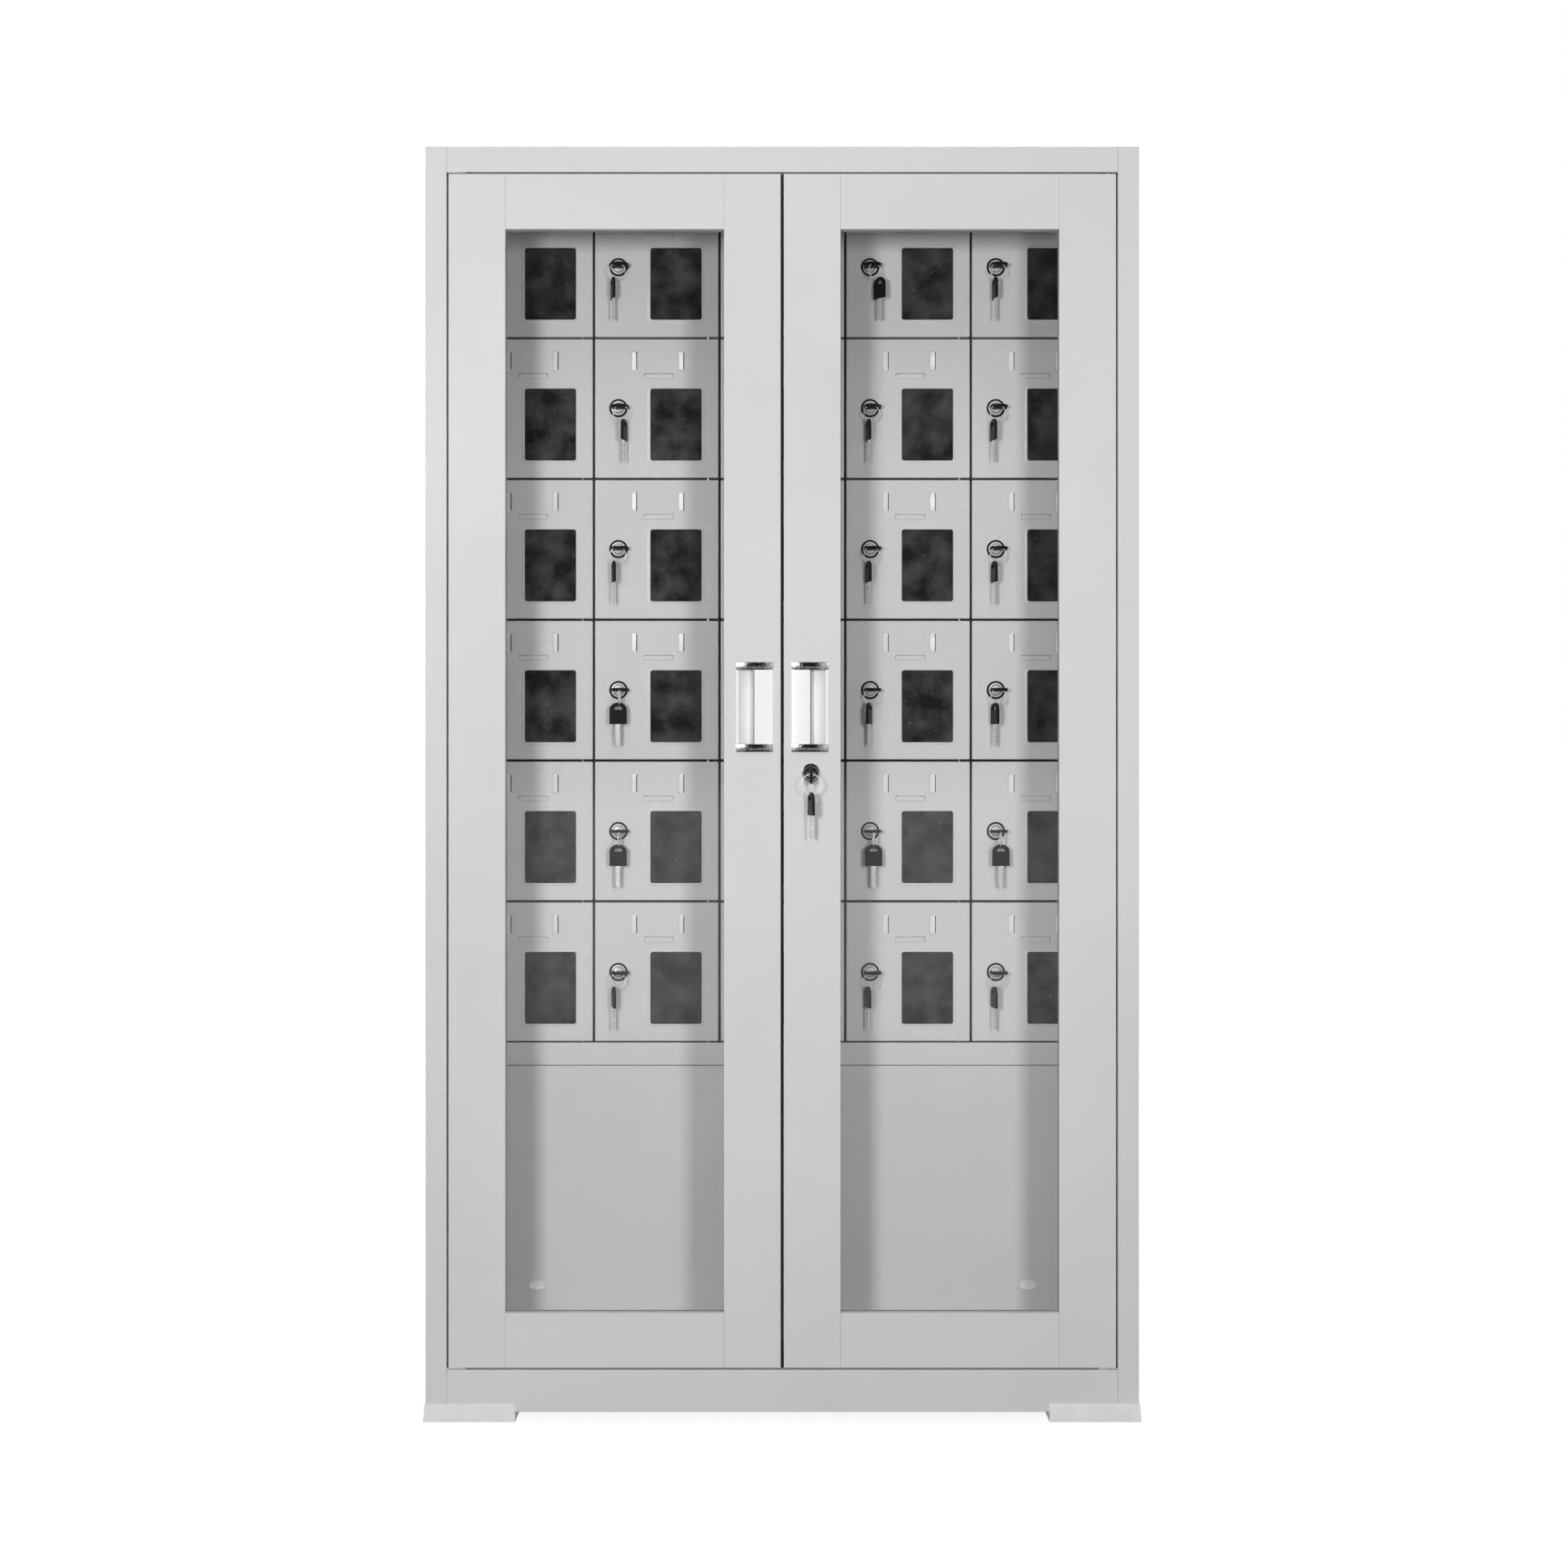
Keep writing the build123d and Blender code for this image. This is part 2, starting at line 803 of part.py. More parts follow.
# Locker doors: every cell has the same one, drawn in the first cell with its lock in the open position
leaf_width = pitch_x - cell_gap
leaf_height = pitch_z - cell_gap
leaf_left = -bank_half + cell_gap / 2
leaf_low = bank_bottom + cell_gap / 2
pivot_x = leaf_left + leaf_width - locker_pivot_inset
pivot_y = bank_front + locker_pivot_depth
pane_x = leaf_left + leaf_width - pane_right - pane_width / 2
pane_z = leaf_low + pane_bottom + pane_height / 2
lock_x = leaf_left + locker_lock_x
lock_z = leaf_low + leaf_height / 2
leaf_face = facing(bank_front)

with BuildPart() as locker_leaf:
    with BuildSketch(leaf_face):
        with Locations((leaf_left + leaf_width / 2, leaf_low + leaf_height / 2)):
            Rectangle(leaf_width, leaf_height)
    extrude(amount=-leaf_flange)
    offset(amount=-sheet, openings=locker_leaf.faces().sort_by(Axis.Y)[-1], kind=Kind.INTERSECTION)
    with BuildSketch(leaf_face):
        with Locations((pane_x, pane_z)):
            Rectangle(pane_width, pane_height)
        with Locations((lock_x, lock_z)):
            Rectangle(locker_barrel, locker_barrel)
    extrude(amount=-sheet, mode=Mode.SUBTRACT)
    for x in louvre_x:
        hood_left = leaf_left + x - louvre_width / 2
        with BuildSketch(Plane.XY.offset(leaf_low + leaf_height - louvre_top)):
            with BuildLine():
                Polyline(
                    (hood_left, bank_front),
                    (hood_left + louvre_width, bank_front - louvre_rise),
                    (hood_left + louvre_width, bank_front),
                    close=True,
                )
            make_face()
        extrude(amount=-louvre_height)
    hood_top = leaf_low + leaf_height - long_louvre_top
    with BuildSketch(Plane.YZ.offset(leaf_left + long_louvre_x - long_louvre_width / 2)):
        with BuildLine():
            Polyline(
                (bank_front, hood_top),
                (bank_front - louvre_rise, hood_top - long_louvre_height),
                (bank_front, hood_top - long_louvre_height),
                close=True,
            )
        make_face()
    extrude(amount=long_louvre_width)
    with BuildSketch(Plane.XY.offset(leaf_low)):
        with Locations((pivot_x, pivot_y)):
            Rectangle(2 * (rod_radius + rod_clearance), 2 * (rod_radius + rod_clearance))
    extrude(amount=leaf_height, mode=Mode.SUBTRACT)

with BuildPart() as locker_pane:
    with BuildSketch(facing(bank_front + sheet)):
        with Locations((pane_x, pane_z)):
            Rectangle(pane_width + 2 * pane_overlap, pane_height + 2 * pane_overlap)
    extrude(amount=-pane_thickness)

cam_y = bank_front + locker_barrel_length
with BuildPart() as locker_lock:
    with BuildSketch(facing(bank_front - head_thickness)):
        with Locations((lock_x, lock_z)):
            RegularPolygon(locker_head_radius, locker_head_sides)
    extrude(amount=-head_thickness)
    with BuildSketch(leaf_face):
        with Locations((lock_x, lock_z)):
            Rectangle(locker_barrel, locker_barrel)
    extrude(amount=-locker_barrel_length)
    with BuildSketch(facing(cam_y)):
        with Locations((lock_x, lock_z - (locker_cam_reach - cam_width / 2) / 2)):
            Rectangle(cam_width, locker_cam_reach + cam_width / 2)
    extrude(amount=-cam_thickness)

with BuildPart() as locker_key:
    with BuildSketch(Plane.XY.offset(lock_z - bow_thickness / 2)):
        with BuildLine():
            head = bank_front - head_thickness
            shoulder = head - key_neck
            tip = shoulder - bow_length
            Polyline(
                (lock_x - blade_width / 2, head),
                (lock_x - blade_width / 2, shoulder),
                (lock_x - bow_width / 2, shoulder),
                (lock_x - locker_bow_tip / 2, tip),
                (lock_x + locker_bow_tip / 2, tip),
                (lock_x + bow_width / 2, shoulder),
                (lock_x + blade_width / 2, shoulder),
                (lock_x + blade_width / 2, head),
                close=True,
            )
        make_face()
    extrude(amount=bow_thickness)

for row in range(rows):
    for column in range(columns):
        cell = Location((column * pitch_x, 0, (rows - 1 - row) * pitch_z))
        save(
            "locker_door_r%dc%d" % (row + 1, column + 1),
            cell * locker_leaf.part,
            cell * locker_pane.part,
            cell * locker_lock.part,
            cell * locker_key.part,
        )
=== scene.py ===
import math

import bmesh
import bpy
from mathutils import Matrix, Vector


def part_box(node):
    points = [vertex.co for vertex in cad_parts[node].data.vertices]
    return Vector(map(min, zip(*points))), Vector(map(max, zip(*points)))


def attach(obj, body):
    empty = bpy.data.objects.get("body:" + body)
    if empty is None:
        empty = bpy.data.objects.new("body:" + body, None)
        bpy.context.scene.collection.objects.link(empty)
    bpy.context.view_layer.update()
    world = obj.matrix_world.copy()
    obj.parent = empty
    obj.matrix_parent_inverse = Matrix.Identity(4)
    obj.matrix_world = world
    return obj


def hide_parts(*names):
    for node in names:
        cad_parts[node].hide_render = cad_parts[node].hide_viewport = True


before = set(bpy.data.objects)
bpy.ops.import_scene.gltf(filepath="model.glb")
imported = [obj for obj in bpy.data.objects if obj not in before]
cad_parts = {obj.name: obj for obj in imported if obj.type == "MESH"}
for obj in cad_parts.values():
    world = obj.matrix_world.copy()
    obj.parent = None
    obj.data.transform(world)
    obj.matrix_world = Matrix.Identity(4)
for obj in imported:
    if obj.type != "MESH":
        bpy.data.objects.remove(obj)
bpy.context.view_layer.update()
scene = bpy.context.scene
mm = 0.001

# ---- Carcass sheets --------------------------------------------------------------------------------------
# Cold-rolled steel, folded and spot welded, then sprayed with light grey polyester powder and baked.
# The coat is satin and has a fine orange-peel skin, and it rounds every fold and cut edge a little.

tone_patch = 260 * mm
gloss_patch = 40 * mm
# The real skin has lumps of about 1 mm, too fine to show here, so they are drawn at 3 mm.
peel_lump = 3 * mm
peel_depth = 0.12 * mm
seam_reach = 0.5 * mm
seam_share = 0.35
opening_gap = 2.5 * mm
# A Mix node's two colours are its inputs 6 and 7, and the colour that it makes is its output 2.
COLOUR_A, COLOUR_B, COLOUR = 6, 7, 2


def linear(colour):
    """An sRGB hex colour as the linear RGBA that a shader takes."""
    parts = [int(colour[i:i + 2], 16) / 255 for i in (1, 3, 5)]
    return [c / 12.92 if c <= 0.04045 else ((c + 0.055) / 1.055) ** 2.4 for c in parts] + [1.0]


def add(tree, kind, inputs=(), **settings):
    """Adds a node to a tree. inputs maps its sockets to values or to the sockets that feed them."""
    made = tree.nodes.new(kind)
    for name, value in settings.items():
        setattr(made, name, value)
    for key, value in dict(inputs).items():
        if isinstance(value, bpy.types.NodeSocket):
            tree.links.new(value, made.inputs[key])
        else:
            made.inputs[key].default_value = value
    return made


def finish_of(name):
    """A new, empty material and its tree."""
    made = bpy.data.materials.new(name)
    made.use_nodes = True
    made.node_tree.nodes.clear()
    return made, made.node_tree


def coordinates(tree):
    """The X, Y and Z of a place on the piece."""
    place = add(tree, "ShaderNodeTexCoord").outputs["Object"]
    return add(tree, "ShaderNodeSeparateXYZ", {0: place}).outputs


def speckle(tree, size, detail=2.0):
    """A noise value over the piece, whose lumps are about that size."""
    place = add(tree, "ShaderNodeTexCoord").outputs["Object"]
    noise = add(tree, "ShaderNodeTexNoise", {"Vector": place, "Scale": 1 / size, "Detail": detail})
    return noise.outputs["Fac"]


def patches(tree, size, detail, low, high, start=0.3, end=0.7):
    """A value that drifts from low to high over the piece, in patches of about that size.
    Noise up to start gives low, and noise from end on gives high."""
    spread = add(tree, "ShaderNodeMapRange", {
        "Value": speckle(tree, size, detail),
        "From Min": start, "From Max": end, "To Min": low, "To Max": high,
    })
    return spread.outputs["Result"]


def mottled(tree, size, detail, colour, shade, start=0.3, end=0.7):
    """A colour that drifts between two over the piece, in patches of about that size."""
    mix = add(tree, "ShaderNodeMix", {
        "Factor": patches(tree, size, detail, 0.0, 1.0, start, end),
        COLOUR_A: linear(colour), COLOUR_B: linear(shade),
    }, data_type="RGBA")
    return mix.outputs[COLOUR]


def powder_coat(name, colour, shade, edge=0.8 * mm, gloss=0.41, seams=(), seam_low=0.0, seam_high=0.0):
    """Baked polyester powder: satin, slightly uneven in tone, with rounded edges. seams are distances from
    the middle at which a butt joint shows as a hairline, below seam_low and above seam_high."""
    made, tree = finish_of(name)
    paint = mottled(tree, tone_patch, 3.0, colour, shade)
    if seams:
        place = coordinates(tree)
        side = add(tree, "ShaderNodeMath", {0: place["X"]}, operation="ABSOLUTE").outputs[0]
        above = add(tree, "ShaderNodeMath", {0: place["Z"], 1: seam_high}, operation="GREATER_THAN")
        below = add(tree, "ShaderNodeMath", {0: place["Z"], 1: seam_low}, operation="LESS_THAN")
        span = add(tree, "ShaderNodeMath", {0: above.outputs[0], 1: below.outputs[0]}, operation="MAXIMUM")
        for seam in seams:
            near = add(tree, "ShaderNodeMath", {0: side, 1: seam, 2: seam_reach}, operation="COMPARE")
            line = add(tree, "ShaderNodeMath", {0: near.outputs[0], 1: span.outputs[0]}, operation="MULTIPLY")
            faint = add(tree, "ShaderNodeMath", {0: line.outputs[0], 1: seam_share}, operation="MULTIPLY")
            paint = add(tree, "ShaderNodeMix", {
                "Factor": faint.outputs[0], COLOUR_A: paint, COLOUR_B: linear("#8a8a8a"),
            }, data_type="RGBA").outputs[COLOUR]
    rounded = add(tree, "ShaderNodeBevel", {"Radius": edge}, samples=4)
    peel = add(tree, "ShaderNodeBump", {
        "Height": speckle(tree, peel_lump, 1.0), "Strength": 0.10, "Distance": peel_depth,
        "Normal": rounded.outputs["Normal"],
    })
    shader = add(tree, "ShaderNodeBsdfPrincipled", {
        "Base Color": paint, "Roughness": patches(tree, gloss_patch, 2.0, 0.88 * gloss, 1.12 * gloss),
        "Normal": peel.outputs["Normal"],
    })
    add(tree, "ShaderNodeOutputMaterial", {"Surface": shader.outputs[0]})
    return made


def dress(material, *nodes):
    """Gives CAD nodes a material."""
    for node in nodes:
        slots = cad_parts[node].data.materials
        slots.clear()
        slots.append(material)


plinth_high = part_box("plinth_rail")[1]
header_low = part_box("right_door_frame")[1].z + opening_gap
carcass_coat = powder_coat(
    "powder_coated_steel_carcass", "#dadada", "#d3d3d3",
    seams=[plinth_high.x], seam_low=plinth_high.z, seam_high=header_low,
)
dress(carcass_coat, "side_panel_left", "side_panel_right", "top_panel", "back_panel")
dress(carcass_coat, "plinth_rail", "floor_panel")

# ---- Locker bank -----------------------------------------------------------------------------------------
# Unbroken shelves of 1 mm sheet with dividers welded between them, and a rail, a panel and filler strips
# round them. Their front edges are painted near-black, as painted shade in the gaps between the doors.

gap_shade_reach = 0.5 * mm


def boards_with_painted_gap_shade():
    """The bank's coat, with the front edges painted near-black: painted shade for the gaps between the doors.
    """
    made = bank_coat.copy()
    made.name = "powder_coated_steel_boards_painted_gap_shade"
    tree = made.node_tree
    shader = next(node for node in tree.nodes if node.type == "BSDF_PRINCIPLED")
    paint = shader.inputs["Base Color"].links[0].from_socket
    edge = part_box("locker_shelves")[0].y + gap_shade_reach
    # Near-black along the front edges: painted shade where the gaps between the doors show them.
    gap_shade_mask = add(tree, "ShaderNodeMath", {0: coordinates(tree)["Y"], 1: edge}, operation="LESS_THAN")
    mix = add(tree, "ShaderNodeMix", {
        "Factor": gap_shade_mask.outputs[0], COLOUR_A: paint, COLOUR_B: linear("#333333"),
    }, data_type="RGBA")
    tree.links.new(mix.outputs[COLOUR], shader.inputs["Base Color"])
    return made


bank_coat = powder_coat("powder_coated_steel_bank", "#e2e2e2", "#dddddd")
dress(bank_coat, "latch_keepers", "locker_fillers", "locker_bottom_rail", "lower_panel")
dress(boards_with_painted_gap_shade(), "locker_shelves", "locker_dividers")

# ---- Corner feet and blanking plugs ----------------------------------------------------------------------
# The feet are injection-moulded shoes of pale grey nylon that the corners of the carcass stand in.
# The plugs are dished polyethylene ovals, pressed into the lower panel near its bottom corners.

flow_mark = 18 * mm
grain_depth = 0.1 * mm


def moulding(name, colour, shade, roughness, grain, gleam=0.5):
    """A moulded plastic with the fine matt grain of a spark-eroded tool."""
    made, tree = finish_of(name)
    texture = add(tree, "ShaderNodeBump", {
        "Height": speckle(tree, grain), "Strength": 0.25, "Distance": grain_depth,
    })
    shader = add(tree, "ShaderNodeBsdfPrincipled", {
        "Base Color": mottled(tree, flow_mark, 4.0, colour, shade), "Roughness": roughness,
        "IOR": 1.50, "Specular IOR Level": gleam, "Normal": texture.outputs["Normal"],
    })
    add(tree, "ShaderNodeOutputMaterial", {"Surface": shader.outputs[0]})
    return made


dress(moulding("moulded_nylon", "#eeeeee", "#e5e5e5", 0.5, 1.5 * mm), "corner_feet")
dress(moulding("polyethylene", "#ffffff", "#f7f7f7", 0.3, 1.0 * mm), "blanking_plugs")

# ---- Rods, brackets and catches --------------------------------------------------------------------------
# Drawn steel rods and pressed brackets, bright zinc plated: a bluish grey metal with a soft cloudy bloom.
# The catches are magnets in white ABS cases.


def plated(name, colour, shade, roughness, bloom=14 * mm):
    """A plated metal, whose polish is a little uneven."""
    made, tree = finish_of(name)
    shader = add(tree, "ShaderNodeBsdfPrincipled", {
        "Base Color": mottled(tree, bloom, 3.0, colour, shade), "Metallic": 1.0,
        "Roughness": patches(tree, bloom, 3.0, 0.7 * roughness, 1.3 * roughness),
    })
    add(tree, "ShaderNodeOutputMaterial", {"Surface": shader.outputs[0]})
    return made


zinc = plated("zinc_plated_steel", "#c6c8cb", "#a9adb2", 0.3)
dress(zinc, "locker_hinge_rods", "door_pivot_brackets")
dress(moulding("abs_catch_case", "#e6e6e4", "#dcdcda", 0.45, 1.0 * mm), "magnet_catches")

# ---- Locker doors ----------------------------------------------------------------------------------------
# Thirty folded pans of 1 mm steel on hinge rods. Each has a rolled bead round its window, three pressed
# vent hoods, a smoked acrylic pane, and a nickel-plated cam lock with its key and a spare on a split ring.

bank_rows, bank_columns = 6, 5
# Every door is made in the cell at the lower left and then moved to its own.
cell_low, cell_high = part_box("locker_door_r6c1")
column_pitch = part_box("locker_door_r6c2")[0].x - cell_low.x
row_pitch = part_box("locker_door_r5c1")[0].z - cell_low.z
face_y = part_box("lower_panel")[0].y

sheet = 1.0 * mm
leaf_flange = 12 * mm
fold_radius = 1.5 * mm
fold_back = 1.6 * mm
# The window's margins run from the leaf's right and lower edges. The places of the hoods run from its left
# and upper edges, to the top of the upright ones and to the middle of the long one.
window_size = (69 * mm, 97 * mm)
window_margin = (22.8 * mm, 23.4 * mm)
window_corner = 3.0 * mm
window_low = (cell_high.x - window_margin[0] - window_size[0], cell_low.z + window_margin[1])
window_high = (window_low[0] + window_size[0], window_low[1] + window_size[1])
hood_across = (53.3 * mm, 116.9 * mm)
hood_down = 16 * mm
long_hood_place = (86.5 * mm, 50 * mm)

pane_lap = 6 * mm
pane_back = 2.7 * mm
pane_thickness = 2.2 * mm

lock_across = 32 * mm
lock_place = Vector((cell_low.x + lock_across, face_y, (cell_low.z + cell_high.z) / 2))
head_radius = 12.8 * mm
barrel_radius = 7.5 * mm
barrel_depth = 16 * mm
cam_half = 5.5 * mm
cam_corner = 5.4 * mm
cam_thickness = 2 * mm
cam_length = 27 * mm
cam_back = 17 * mm

bow_size = (29 * mm, 23.5 * mm, 3.8 * mm)
bow_edge = 1.4 * mm
blade_size = (29 * mm, 7 * mm, 2.0 * mm)
cut_edge = 0.3 * mm
shoulder_back = 2.5 * mm
key_offset = 3.0 * mm
eye_from_tip = 7 * mm
ring_offset = 2 * mm
# A ring moves aside by this share of what its spare key does.
ring_share = 0.3
ring_drop = 9.5 * mm
spare_drop = 17.5 * mm

# Points of a quarter round, as shares of its radius along each of its two sides.
quarter_round = ((1.0, 0.0), (0.62, 0.08), (0.29, 0.29), (0.08, 0.62), (0.0, 1.0))
round_middle = 0.29
# A face that is filled gets a narrow flat band along its edge, so that its shading stays flat.
flat_band = 0.5 * mm
least_corner = 0.02 * mm
merge_distance = 0.002 * mm


def outline(low, high, radius, inset=0.0, steps=4):
    """A rectangle with rounded corners as (across, up) points, anticlockwise seen from the front."""
    low = (low[0] + inset, low[1] + inset)
    high = (high[0] - inset, high[1] - inset)
    radius = max(radius - inset, least_corner)
    points = []
    for quarter, (x, z) in enumerate((
        (high[0] - radius, high[1] - radius), (low[0] + radius, high[1] - radius),
        (low[0] + radius, low[1] + radius), (high[0] - radius, low[1] + radius),
    )):
        for step in range(steps + 1):
            turn = math.radians(90 * (quarter + step / steps))
            points.append((x + radius * math.cos(turn), z + radius * math.sin(turn)))
    return points


def skin(form, loops, slot=0):
    """Joins each closed loop of points to the next with a band of faces."""
    rows = [[form.verts.new(point) for point in loop] for loop in loops]
    for one, other in zip(rows, rows[1:]):
        for i in range(len(one)):
            face = form.faces.new((one[i - 1], one[i], other[i], other[i - 1]))
            face.material_index = slot
    return rows


def fill(form, rows, slot=0):
    """Fills the flat face inside the first row of points, round any others, which are holes."""
    edges = [form.edges.get((row[i - 1], row[i])) for row in rows for i in range(len(row))]
    made = bmesh.ops.triangle_fill(form, use_beauty=True, edges=edges)
    for face in made["geom"]:
        if isinstance(face, bmesh.types.BMFace):
            face.material_index = slot


def plate(form, place, outer, holes, thickness, edge, slot=0):
    """A flat plate with rounded edges. outer and holes give (u, v) points for an inset."""
    half = thickness / 2
    levels = [
        (edge + min(edge, flat_band), -half), (edge, -half),
        (round_middle * edge, round_middle * edge - half), (0.0, edge - half),
    ]
    levels += [(inset, -w) for inset, w in reversed(levels)]
    rows = [
        skin(form, [[place @ Vector((u, v, w)) for u, v in shape(inset)] for inset, w in levels], slot)
        for shape in (outer, *holes)
    ]
    fill(form, [row[0] for row in rows], slot)
    fill(form, [row[-1] for row in rows], slot)


def turned(form, centre, profile, slot=0, sides=32):
    """A piece turned about an axis along Y. The profile is (radius, y) points from its back to its face."""
    turns = [2 * math.pi * i / sides for i in range(sides)]
    rows = skin(form, [
        [centre + Vector((radius * math.cos(turn), y, radius * math.sin(turn))) for turn in turns]
        for radius, y in profile
    ], slot)
    fill(form, [rows[0]], slot)
    fill(form, [rows[-1]], slot)


def mesh_from(form, name, materials, sharp=32):
    """A smooth-shaded mesh of a form, with its doubles merged and its faces turned outwards."""
    bmesh.ops.remove_doubles(form, verts=form.verts, dist=merge_distance)
    bmesh.ops.recalc_face_normals(form, faces=form.faces)
    made = bpy.data.meshes.new(name)
    form.to_mesh(made)
    form.free()
    for material in materials:
        made.materials.append(material)
    made.shade_smooth()
    made.set_sharp_from_angle(angle=math.radians(sharp))
    return made


def show(name, mesh, body, slot, *nodes):
    """Puts a finished mesh in the scene, on its body and in the place of its CAD nodes."""
    shown = bpy.data.objects.new(name, mesh)
    scene.collection.objects.link(shown)
    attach(shown, body)
    if nodes:
        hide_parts(*nodes)
    return shown


def grown(tree, sizes):
    """The plain mesh that a Geometry Nodes tree makes from its named sizes."""
    holder = bpy.data.objects.new(tree.name, bpy.data.meshes.new(tree.name))
    scene.collection.objects.link(holder)
    maker = holder.modifiers.new("maker", "NODES")
    maker.node_group = tree
    for item in tree.interface.items_tree:
        if item.item_type == "SOCKET" and item.in_out == "INPUT" and item.name in sizes:
            maker[item.identifier] = sizes[item.name]
    shown = holder.evaluated_get(bpy.context.evaluated_depsgraph_get())
    mesh = bpy.data.meshes.new_from_object(shown)
    bpy.data.objects.remove(holder)
    return mesh


def node_tree(name, **inputs):
    """An empty Geometry Nodes tree with named float inputs, and the node that carries them."""
    tree = bpy.data.node_groups.new(name, "GeometryNodeTree")
    for label, default in inputs.items():
        socket = tree.interface.new_socket(label, in_out="INPUT", socket_type="NodeSocketFloat")
        socket.default_value = default
    tree.interface.new_socket("Geometry", in_out="OUTPUT", socket_type="NodeSocketGeometry")
    return tree, tree.nodes.new("NodeGroupInput")


def give(tree, geometry, material):
    """Ends a tree in Realize Instances and Set Material."""
    real = add(tree, "GeometryNodeRealizeInstances", {0: geometry})
    painted = add(tree, "GeometryNodeSetMaterial", {0: real.outputs[0], "Material": material})
    add(tree, "NodeGroupOutput", {0: painted.outputs[0]})


def nickel(name, colour, shade, roughness, metal=1.0, wave=1.2 * mm, swell=0.05):
    """Nickel plate: a grey mirror with fine swirls, dulled where the plate is matt.
    wave and swell are the size and the strength of its unevenness."""
    made, tree = finish_of(name)
    swirl = 3 * mm
    polish = add(tree, "ShaderNodeBump", {
        "Height": speckle(tree, wave), "Strength": swell, "Distance": 0.1 * wave,
    })
    shader = add(tree, "ShaderNodeBsdfPrincipled", {
        "Base Color": mottled(tree, swirl, 4.0, colour, shade), "Metallic": metal,
        "Roughness": patches(tree, swirl, 4.0, 0.8 * roughness, 1.25 * roughness),
        "Normal": polish.outputs["Normal"],
    })
    add(tree, "ShaderNodeOutputMaterial", {"Surface": shader.outputs[0]})
    return made


def smoked_acrylic():
    """Smoked cast acrylic: nearly black and glossy, with a haze of old fingerprints and specks of dust."""
    made, tree = finish_of("smoked_acrylic")
    haze = 30 * mm
    dust = 5 * mm
    mix = add(tree, "ShaderNodeMix", {
        "Factor": patches(tree, dust, 2.0, 0.0, 1.0, 0.66, 0.80),
        COLOUR_A: mottled(tree, haze, 6.0, "#222222", "#505050", 0.35, 0.72), COLOUR_B: linear("#6e6e6e"),
    }, data_type="RGBA")
    shader = add(tree, "ShaderNodeBsdfPrincipled", {
        "Base Color": mix.outputs[COLOUR], "IOR": 1.49,
        "Roughness": patches(tree, haze, 6.0, 0.10, 0.24, 0.35, 0.72),
    })
    add(tree, "ShaderNodeOutputMaterial", {"Surface": shader.outputs[0]})
    return made


leaf_coat = powder_coat("powder_coated_steel_leaf", "#e2e2e2", "#dddddd", edge=0.4 * mm, gloss=0.25)
# The press draws the steel of the hoods smooth, so the coat over them is glossier and catches more light.
# Its colour is also lighter than the leaf's: a painted highlight.
hood_highlight_coat = powder_coat("powder_coated_steel_hood_painted_highlight", "#f6f6f6", "#f1f1f1", edge=0.3 * mm, gloss=0.14)
pane_acrylic = smoked_acrylic()
lock_nickel = nickel("matt_nickel_on_zinc", "#f4f4f3", "#dcdcdb", 0.3, 0.4)
key_steel = nickel("nickelled_key_steel", "#f2f2f1", "#dededd", 0.3, 0.35)
bow_abs = moulding("black_abs", "#101010", "#191919", 0.5, 0.8 * mm, 0.25)
# A near-black used as painted shade: in the lanced slits of the hoods and in the grooves of the locks.
painted_shade_black = moulding("near_black_painted_shade", "#0a0a0a", "#060606", 0.7, 0.8 * mm)
locker_finishes = [leaf_coat, pane_acrylic, lock_nickel, key_steel, bow_abs, painted_shade_black, zinc, hood_highlight_coat]
LEAF, PANE, NICKEL, STEEL, BOW, PAINTED_SHADE, ZINC, HOOD_HIGHLIGHT = range(8)

# Vent hoods: one pressed form with rounded ends, a flat ramp on one side and a steep drop on the other. The
# upright ones are lanced open along the drop, and the drop is painted near-black as painted shade in the
# slit.
ramp_share = 0.80
drop_share = 0.10
end_roundness = 0.25
hood_sink = 0.05 * mm
# Faces of an upright hood that turn right more steeply than this get the near-black painted shade of its
# slit.
slit_shade_steepness = 0.6
hood_tree, hood_in = node_tree("pressed_hood", Length=27 * mm, Width=6 * mm, Rise=1.6 * mm)
grid = add(hood_tree, "GeometryNodeMeshGrid", {
    "Size X": hood_in.outputs["Width"], "Size Y": hood_in.outputs["Length"],
    "Vertices X": 15, "Vertices Y": 19,
})
spot = add(hood_tree, "ShaderNodeSeparateXYZ", {0: add(hood_tree, "GeometryNodeInputPosition").outputs[0]})
sums = {
    "x": spot.outputs["X"], "y": spot.outputs["Y"], "width": hood_in.outputs["Width"],
    "length": hood_in.outputs["Length"], "rise": hood_in.outputs["Rise"],
}
for result, operation, *terms in (
    ("across", "DIVIDE", "x", "width"),
    ("across", "ADD", "across", 0.5),
    ("ramp", "MULTIPLY", "across", 1 / ramp_share),
    ("drop", "SUBTRACT", 1.0, "across"),
    ("drop", "MULTIPLY", "drop", 1 / drop_share),
    ("climb", "MINIMUM", "ramp", "drop"),
    ("climb", "MAXIMUM", "climb", 0.0),
    ("ends", "DIVIDE", "y", "length"),
    ("ends", "ADD", "ends", 0.5),
    ("ends", "MULTIPLY", "ends", math.pi),
    ("ends", "SINE", "ends"),
    ("ends", "MAXIMUM", "ends", 0.0),
    ("ends", "POWER", "ends", end_roundness),
    ("height", "MULTIPLY", "climb", "ends"),
    ("height", "MULTIPLY", "height", "rise"),
    ("height", "SUBTRACT", "height", hood_sink),
):
    inputs = {i: sums.get(term, term) for i, term in enumerate(terms)}
    sums[result] = add(hood_tree, "ShaderNodeMath", inputs, operation=operation).outputs[0]
lift = add(hood_tree, "ShaderNodeCombineXYZ", {"Z": sums["height"]})
